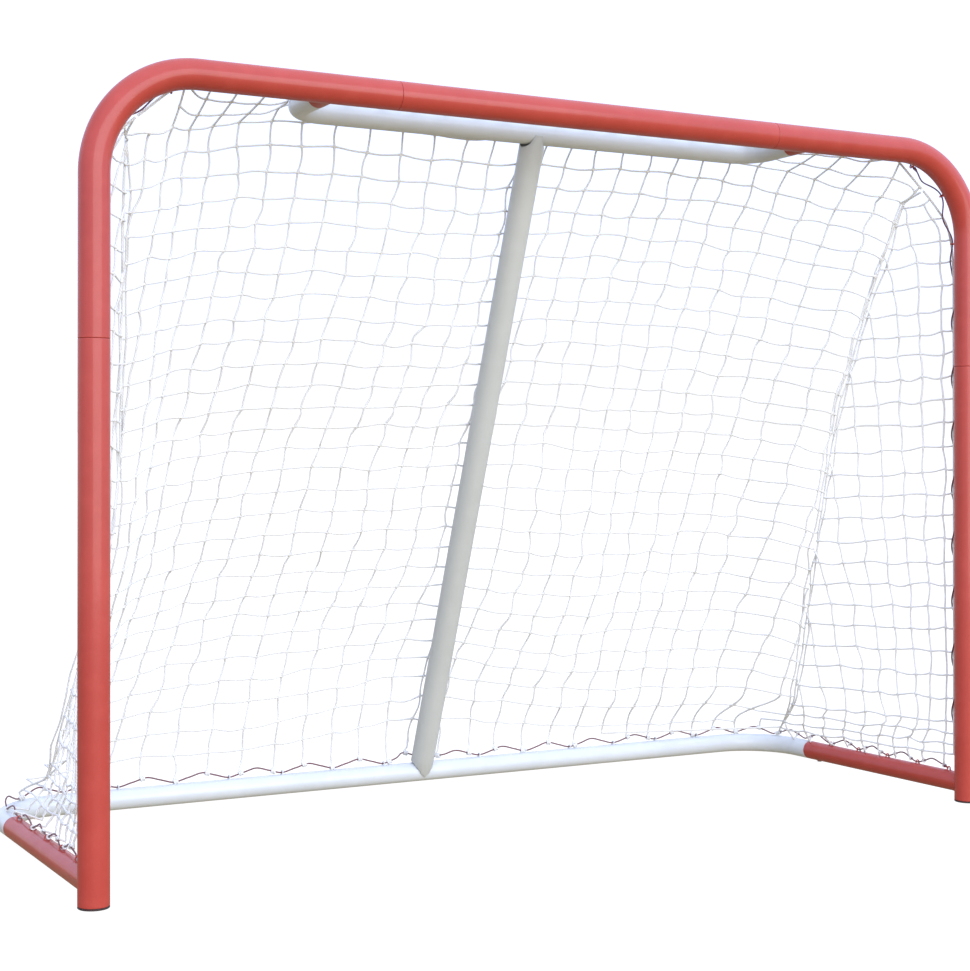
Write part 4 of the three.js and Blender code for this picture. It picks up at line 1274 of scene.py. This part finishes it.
# the strands drawn together along the fold
for side in (-1, 1):
    z = np.arange(0.062, 1.0941, 0.004)
    cx, cy = crease(side, z)
    fade = ease((z - 0.062) / 0.10) * ease((1.094 - z) / 0.10)
    for n, off in enumerate((-0.006, 0.0, 0.006)):
        g = np.random.default_rng(51 + 3 * side + n)
        wob = np.interp(z, np.arange(0, 1.24, 0.04), 0.0022 * g.standard_normal(31))
        wob2 = np.interp(z, np.arange(0, 1.24, 0.04), 0.0022 * g.standard_normal(31))
        k = np.arange(len(z))
        P = np.stack([side * (cx + (off + wob) * fade), cy - (0.4 * off + wob2) * fade, z], -1)
        P = smooth_line(P[::3], 3)
        foot = BASE_CORD[np.argmin(((BASE_CORD - P[0]) ** 2).sum(1))]
        P = np.concatenate([[foot + [0, 0.5 * off, 0.002], 0.5 * (foot + P[0]) + [0, 0.5 * off, 0.001]], P])
        strand(b_back, P, COL_R * 0.95, X)
    L, t = hitch(fold_point(side, 0.056), Y, 3.1, 0.0060)
    strand(b_back, L, COL_R * 0.95, t)
b_back.object("net_back_mesh", NET, ["net_back"], 80)

# ---- the net's edge rope inside the front frame
zz = np.arange(0.078, 0.9001, 0.02)
low = [(0.8005, 0.0332, z) for z in zz]
bend = [
    (0.8005, 0.0332, 0.90), (0.8005, 0.0335, 0.94), (0.8003, 0.0350, 0.975), (0.797, 0.0365, 1.008),
    (0.786, 0.037, 1.040), (0.765, 0.036, 1.064), (0.742, 0.036, 1.086), (0.711, 0.036, 1.112),
    (0.685, 0.036, 1.134), (0.66, 0.034, 1.152), (0.635, 0.030, 1.166), (0.60, 0.0255, 1.1745),
    (0.565, 0.0229, 1.176), (0.53, 0.0229, 1.176),
]
bend = smooth_line(bend, 8)
across = [(x, 0.0229, 1.176) for x in np.arange(0.51, 0.0, -0.02)]
RIM = np.array(low[:-1] + [tuple(p) for p in bend] + across)
POST_RIM = RIM[RIM[:, 0] >= 0.7305]
ROOF_RIM = RIM[RIM[:, 0] < 0.7305]


def rim_by_z(z):
    P = POST_RIM
    return np.interp(z, P[:, 2], P[:, 0]), np.interp(z, P[:, 2], P[:, 1])


def rim_by_x(x):
    P = RIM[RIM[:, 2] > 1.05][::-1]
    x = np.abs(x)
    return np.interp(x, P[:, 0], P[:, 1]), np.interp(x, P[:, 0], P[:, 2])


SIDE_COLS = [0.050, 0.083, 0.117, 0.155, 0.195, 0.238, 0.285, 0.340, 0.395, 0.447]
SIDE_ROWS = [
    0.080, 0.097, 0.117, 0.139, 0.181, 0.223, 0.265, 0.307, 0.345, 0.386, 0.429, 0.470, 0.514,
    0.553, 0.595, 0.638, 0.682, 0.724, 0.767, 0.810, 0.847, 0.888, 0.932, 0.974, 1.012, 1.050,
    1.082,
]
SAMPLE = np.array([0, 0.08, 0.25, 0.5, 0.75, 0.92])
SAMPLE_KNOB = np.array([1.38, 1.1, 0.96, 0.94, 0.96, 1.1])


def side_surface(side, y, z):
    """Point of a side net at distance y from the mouth and height z."""
    cx, cy = crease(side, z)
    bx, by = rim_by_z(z)
    t = np.clip((y - by) / np.maximum(cy - by, 1e-4), 0, 1)
    return np.stack([side * (bx + t * (cx - bx)), by + t * (cy - by), z], -1), t


for label, side in (("left", -1), ("right", 1)):
    b = Build()
    R, al = rod_rings(POST_RIM * [side, 1, 1], ROPE_R, 8, ref=Y)
    b.rings(R, along=al)
    tube = BASE_Z + BAR_R
    # columns
    zs = np.array(SIDE_ROWS)
    for c, y0 in enumerate(SIDE_COLS):
        u = (np.arange(len(zs) - 1)[:, None] + SAMPLE).ravel()
        z = np.interp(u, np.arange(len(zs)), zs)
        z = np.r_[0.058, 0.066, 0.073, z]
        u = np.r_[-0.9, -0.6, -0.3, u]
        rr = COL_R * np.r_[1, 1, 1, np.tile(SAMPLE_KNOB, len(zs) - 1)]
        shift = 0.030 * ease((0.14 - z) / 0.07)
        cyz = crease(side, z)[1]
        byz = rim_by_z(z)[1]
        y = y0 + shift * ease((y0 - byz) / 0.05) * 1.0
        P, t = side_surface(side, y, z)
        uu = u + 1.0
        jit = (knot(uu, 0 * uu + c, 37 + 20 * (side > 0)) + bow(0, uu, 0 * uu + c, 11 + side))
        fade = ease(t / 0.12) * ease((1 - t) / 0.12)
        P = P + jit * fade[:, None] * [0.6, 1.0, 1.0]
        P[:, 2] -= 0.012 * t
        inside = (y < cyz - 0.004) & (y > byz + 0.002)
        for run in runs(inside):
            Q, r = list(P[run][::-1]), list(rr[run][::-1])
            if run[-1] < len(z) - 1:
                q = Q[0]
                Q.insert(0, fold_point(side, q[2] + 0.012))
                r.insert(0, COL_R)
            if run[0] == 0:
                L, tt = hitch(Q[-1], side * X)
                Q.append(L[0])
                r.append(COL_R)
                strand(b, L, COL_R * 0.75, tt)
            strand(b, Q, r, Y)
    # rows
    for k, z0 in enumerate(SIDE_ROWS):
        c = (np.arange(-1, len(SIDE_COLS))[:, None] + SAMPLE).ravel()
        ys = np.interp(c, np.arange(-1, len(SIDE_COLS) + 1), [0.018] + SIDE_COLS + [0.500])
        z = np.full(len(ys), z0)
        cyz = float(crease(side, z0)[1])
        bx, by = rim_by_z(z0)
        ys = ys + 0.030 * float(ease((0.14 - z0) / 0.07)) * ease((ys - float(by)) / 0.05)
        P, t = side_surface(side, ys, z)
        cc = c + 1.0
        jit = knot(0 * cc + k + 1.0, c, 37 + 20 * (side > 0)) + bow(1, 0 * cc + k, cc, 23 + side)
        fade = ease(t / 0.12) * ease((1 - t) / 0.12)
        P = P + jit * fade[:, None] * [0.6, 1.0, 1.0]
        P[:, 2] -= 0.012 * t + 0.0014 * np.sin(math.pi * (c - np.floor(c)))
        m = (ys > float(by) + 0.003) & (ys < cyz - 0.003)
        if m.sum() < 2:
            continue
        Q = [np.array([side * float(bx), float(by), z0])] + list(P[m]) + [fold_point(side, z0 - 0.012)]
        r = ROW_R * np.r_[1, np.tile(SAMPLE_KNOB, len(SIDE_COLS) + 1)[m], 1]
        strand(b, Q, r, Z)
    b.object("net_%s_mesh" % label, NET, ["net_" + label], 80)

# ---- roof
b = Build()
for side in (-1, 1):
    R, al = rod_rings(ROOF_RIM * [side, 1, 1], ROPE_R, 8, ref=Y)
    b.rings(R, along=al)


def roof_path(jj):
    """The net from its third row up, over the upper bar and on to the crossbar's rope."""
    P0 = back(-3.0, jj, 0).reshape(3)
    x0 = float(P0[0])
    ax = abs(x0)
    ry, rz = rim_by_x(min(ax, 0.731))
    end = np.array([math.copysign(min(ax, 0.731), x0), float(ry), float(rz)])
    n = 72
    t = np.linspace(0, 1, n)[:, None]
    direct = P0 + (end - P0) * t
    direct[:, 2] -= 0.004 * np.sin(math.pi * t[:, 0])
    a = np.radians(np.linspace(0, 90, 12))
    arc = np.stack([0 * a + x0, 0.172 + 0.0197 * np.cos(a), 1.156 + 0.0197 * np.sin(a)], -1)
    rim = np.array([x0, float(ry), float(rz)])
    k = np.linspace(0, 1, 30)[1:, None]
    flat = arc[-1] + (rim - arc[-1]) * k
    flat[:, 2] -= 0.003 * np.sin(math.pi * k[:, 0])
    over = np.concatenate([P0[None], arc, flat])
    al = np.r_[0, np.cumsum(np.linalg.norm(np.diff(over, axis=0), axis=1))]
    over = np.stack([np.interp(t[:, 0] * al[-1], al, over[:, q]) for q in range(3)], -1)
    w = float(ease((ax - 0.40) / 0.10))
    P = over * (1 - w) + direct * w
    # clear of the upper bar's legs and bends
    ux = np.where(P[:, 0] < 0, UPPER_LEFT_X, UPPER_RIGHT_X)
    r0 = UPPER_BEND_R
    sx = np.sign(ux)
    qx, qy = (P[:, 0] - ux) * sx, P[:, 1]
    leg = np.where(qy < UPPER_DEPTH - r0, np.abs(qx), 9.0)
    inb = (qx > -r0) & (qy >= UPPER_DEPTH - r0)
    bendd = np.where(inb, np.abs(np.hypot(qx + r0, qy - (UPPER_DEPTH - r0)) - r0), 9.0)
    rear = np.where(qx <= -r0, np.abs(qy - UPPER_DEPTH), 9.0)
    rho = np.minimum(np.minimum(leg, bendd), rear)
    top = upper_z(P[:, 1]) + np.sqrt(np.maximum(0.0197**2 - rho**2, 0))
    near = (rho < 0.0197) & (P[:, 2] > 1.135)
    P[:, 2] = np.where(near, np.maximum(P[:, 2], top), P[:, 2])
    return P


roof_rows = {k: [] for k in range(1, 5)}
for jj in np.arange(-5, 21.01, 1 / 6):
    P = roof_path(jj)
    al = np.r_[0, np.cumsum(np.linalg.norm(np.diff(P, axis=0), axis=1))]
    whole = abs(jj - round(jj)) < 1e-6
    if whole:
        d = np.abs((al + 0.02) % 0.04 - 0.02)
        strand(b, P, COL_R * (0.95 + 0.4 * np.exp(-((d / 0.0028) ** 2))), X)
    for k in roof_rows:
        if al[-1] > 0.040 * k + 0.004:
            q = np.array([np.interp(0.040 * k, al, P[:, m]) for m in range(3)])
            q[2] -= 0.0016 * math.sin(math.pi * (jj - math.floor(jj + 1e-9)))
            roof_rows[k].append((jj, q, 1.38 if whole else 0.97))
        elif roof_rows[k] is not None:
            roof_rows[k].append((jj, None, 0))
for k, row in roof_rows.items():
    run = []
    for jj, q, f in row + [(99, None, 0)]:
        if q is not None:
            run.append((q, f))
        else:
            if len(run) > 4:
                Q = [q for q, _ in run]
                strand(b, Q, ROW_R * np.array([f for _, f in run]), X + 0.3 * Z if False else Z)
            run = []
b.object("net_roof_mesh", NET, ["net_roof"], 80)

# ------------------------------------------------------------------ floor and light
me = bpy.data.meshes.new("floor")
E = 60.0
me.from_pydata([(-E, -E, 0), (E, -E, 0), (E, E, 0), (-E, E, 0)], [], [(0, 1, 2, 3)])
floor = bpy.data.objects.new("floor", me)
bpy.context.scene.collection.objects.link(floor)
m = Mat("floor")
m.link(
    m.mix(m.span(m.noise(1.5, 4), 0.3, 0.7), (0.145, 0.145, 0.145), (0.16, 0.16, 0.16)),
    m.b.inputs["Base Color"],
)
m.b.inputs["Roughness"].default_value = 0.9
m.b.inputs["Specular IOR Level"].default_value = 0.1
m.b.inputs["Emission Color"].default_value = (1.0, 1.0, 1.0, 1.0)
m.b.inputs["Emission Strength"].default_value = 0.93
me.materials.append(m.m)
# the white floor doesn't light the goal from below: the darker ground of the world does
floor.visible_diffuse = False
floor.visible_glossy = False

world = bpy.data.worlds.new("World")
bpy.context.scene.world = world
world.use_nodes = True
nt = world.node_tree
nt.nodes.clear()
o = nt.nodes.new("ShaderNodeOutputWorld")
bg = nt.nodes.new("ShaderNodeBackground")
tc = nt.nodes.new("ShaderNodeTexCoord")
sp = nt.nodes.new("ShaderNodeSeparateXYZ")
rm = nt.nodes.new("ShaderNodeValToRGB")
nt.links.new(tc.outputs["Generated"], sp.inputs[0])
half = nt.nodes.new("ShaderNodeMath")
half.operation = "MULTIPLY_ADD"
half.inputs[1].default_value = 0.5
half.inputs[2].default_value = 0.5
nt.links.new(sp.outputs["Z"], half.inputs[0])
nt.links.new(half.outputs[0], rm.inputs[0])
ramp = rm.color_ramp
ramp.elements[0].position = 0.0
ramp.elements[0].color = (0.50, 0.43, 0.28, 1)
ramp.elements[1].position = 1.0
ramp.elements[1].color = (1.60, 1.80, 2.40, 1)
for at, col in (
    (0.440, (0.60, 0.53, 0.38)),
    (0.485, (1.66, 1.66, 1.66)),
    (0.510, (1.66, 1.69, 1.78)),
    (0.560, (1.66, 1.86, 2.55)),
):
    e = ramp.elements.new(at)
    e.color = (*col, 1)
# a little darker to the left
west = nt.nodes.new("ShaderNodeMapRange")
west.inputs["From Min"].default_value = -0.75
west.inputs["From Max"].default_value = -0.10
west.inputs["To Min"].default_value = 0.85
west.inputs["To Max"].default_value = 1.0
nt.links.new(sp.outputs["X"], west.inputs["Value"])
nt.links.new(rm.outputs[0], bg.inputs["Color"])
# and less bright behind the goal
north = nt.nodes.new("ShaderNodeMapRange")
north.inputs["From Min"].default_value = -0.30
north.inputs["From Max"].default_value = 0.40
north.inputs["To Min"].default_value = 1.0
north.inputs["To Max"].default_value = 0.62
nt.links.new(sp.outputs["Y"], north.inputs["Value"])
both = nt.nodes.new("ShaderNodeMath")
both.operation = "MULTIPLY"
nt.links.new(west.outputs[0], both.inputs[0])
nt.links.new(north.outputs[0], both.inputs[1])
# and darkest behind it on the left
dot = nt.nodes.new("ShaderNodeVectorMath")
dot.operation = "DOT_PRODUCT"
dot.inputs[1].default_value = (-0.6, 0.8, 0.0)
nt.links.new(tc.outputs["Generated"], dot.inputs[0])
corner = nt.nodes.new("ShaderNodeMapRange")
corner.inputs["From Min"].default_value = 0.66
corner.inputs["From Max"].default_value = 0.95
corner.inputs["To Min"].default_value = 1.0
corner.inputs["To Max"].default_value = 0.35
nt.links.new(dot.outputs["Value"], corner.inputs["Value"])
every = nt.nodes.new("ShaderNodeMath")
every.operation = "MULTIPLY"
nt.links.new(both.outputs[0], every.inputs[0])
nt.links.new(corner.outputs[0], every.inputs[1])
# but white all round at the horizon
least = nt.nodes.new("ShaderNodeMath")
least.operation = "MAXIMUM"
least.inputs[1].default_value = 0.62
nt.links.new(every.outputs[0], least.inputs[0])
nt.links.new(least.outputs[0], bg.inputs["Strength"])
nt.links.new(bg.outputs[0], o.inputs["Surface"])


def area(name, at, to, size, size_y, power, colour=(1, 1, 1)):
    d = bpy.data.lights.new(name, "AREA")
    d.shape = "RECTANGLE"
    d.size, d.size_y, d.energy, d.color = size, size_y, power, colour
    ob = bpy.data.objects.new(name, d)
    bpy.context.scene.collection.objects.link(ob)
    ob.location = Vector(at)
    ob.rotation_mode = "QUATERNION"
    ob.rotation_quaternion = (Vector(to) - Vector(at)).to_track_quat("-Z", "Y")
    return ob


area("key", (0.0, -5.0, 1.9), (0, 0, 0.5), 6.0, 3.6, 195.0, (1.0, 0.99, 0.965))
area("top", (0.3, 0.2, 4.2), (0, 0, 0.6), 5.0, 5.0, 14.0, (0.94, 0.97, 1.0))
bpy.context.scene.view_settings.view_transform = "Standard"
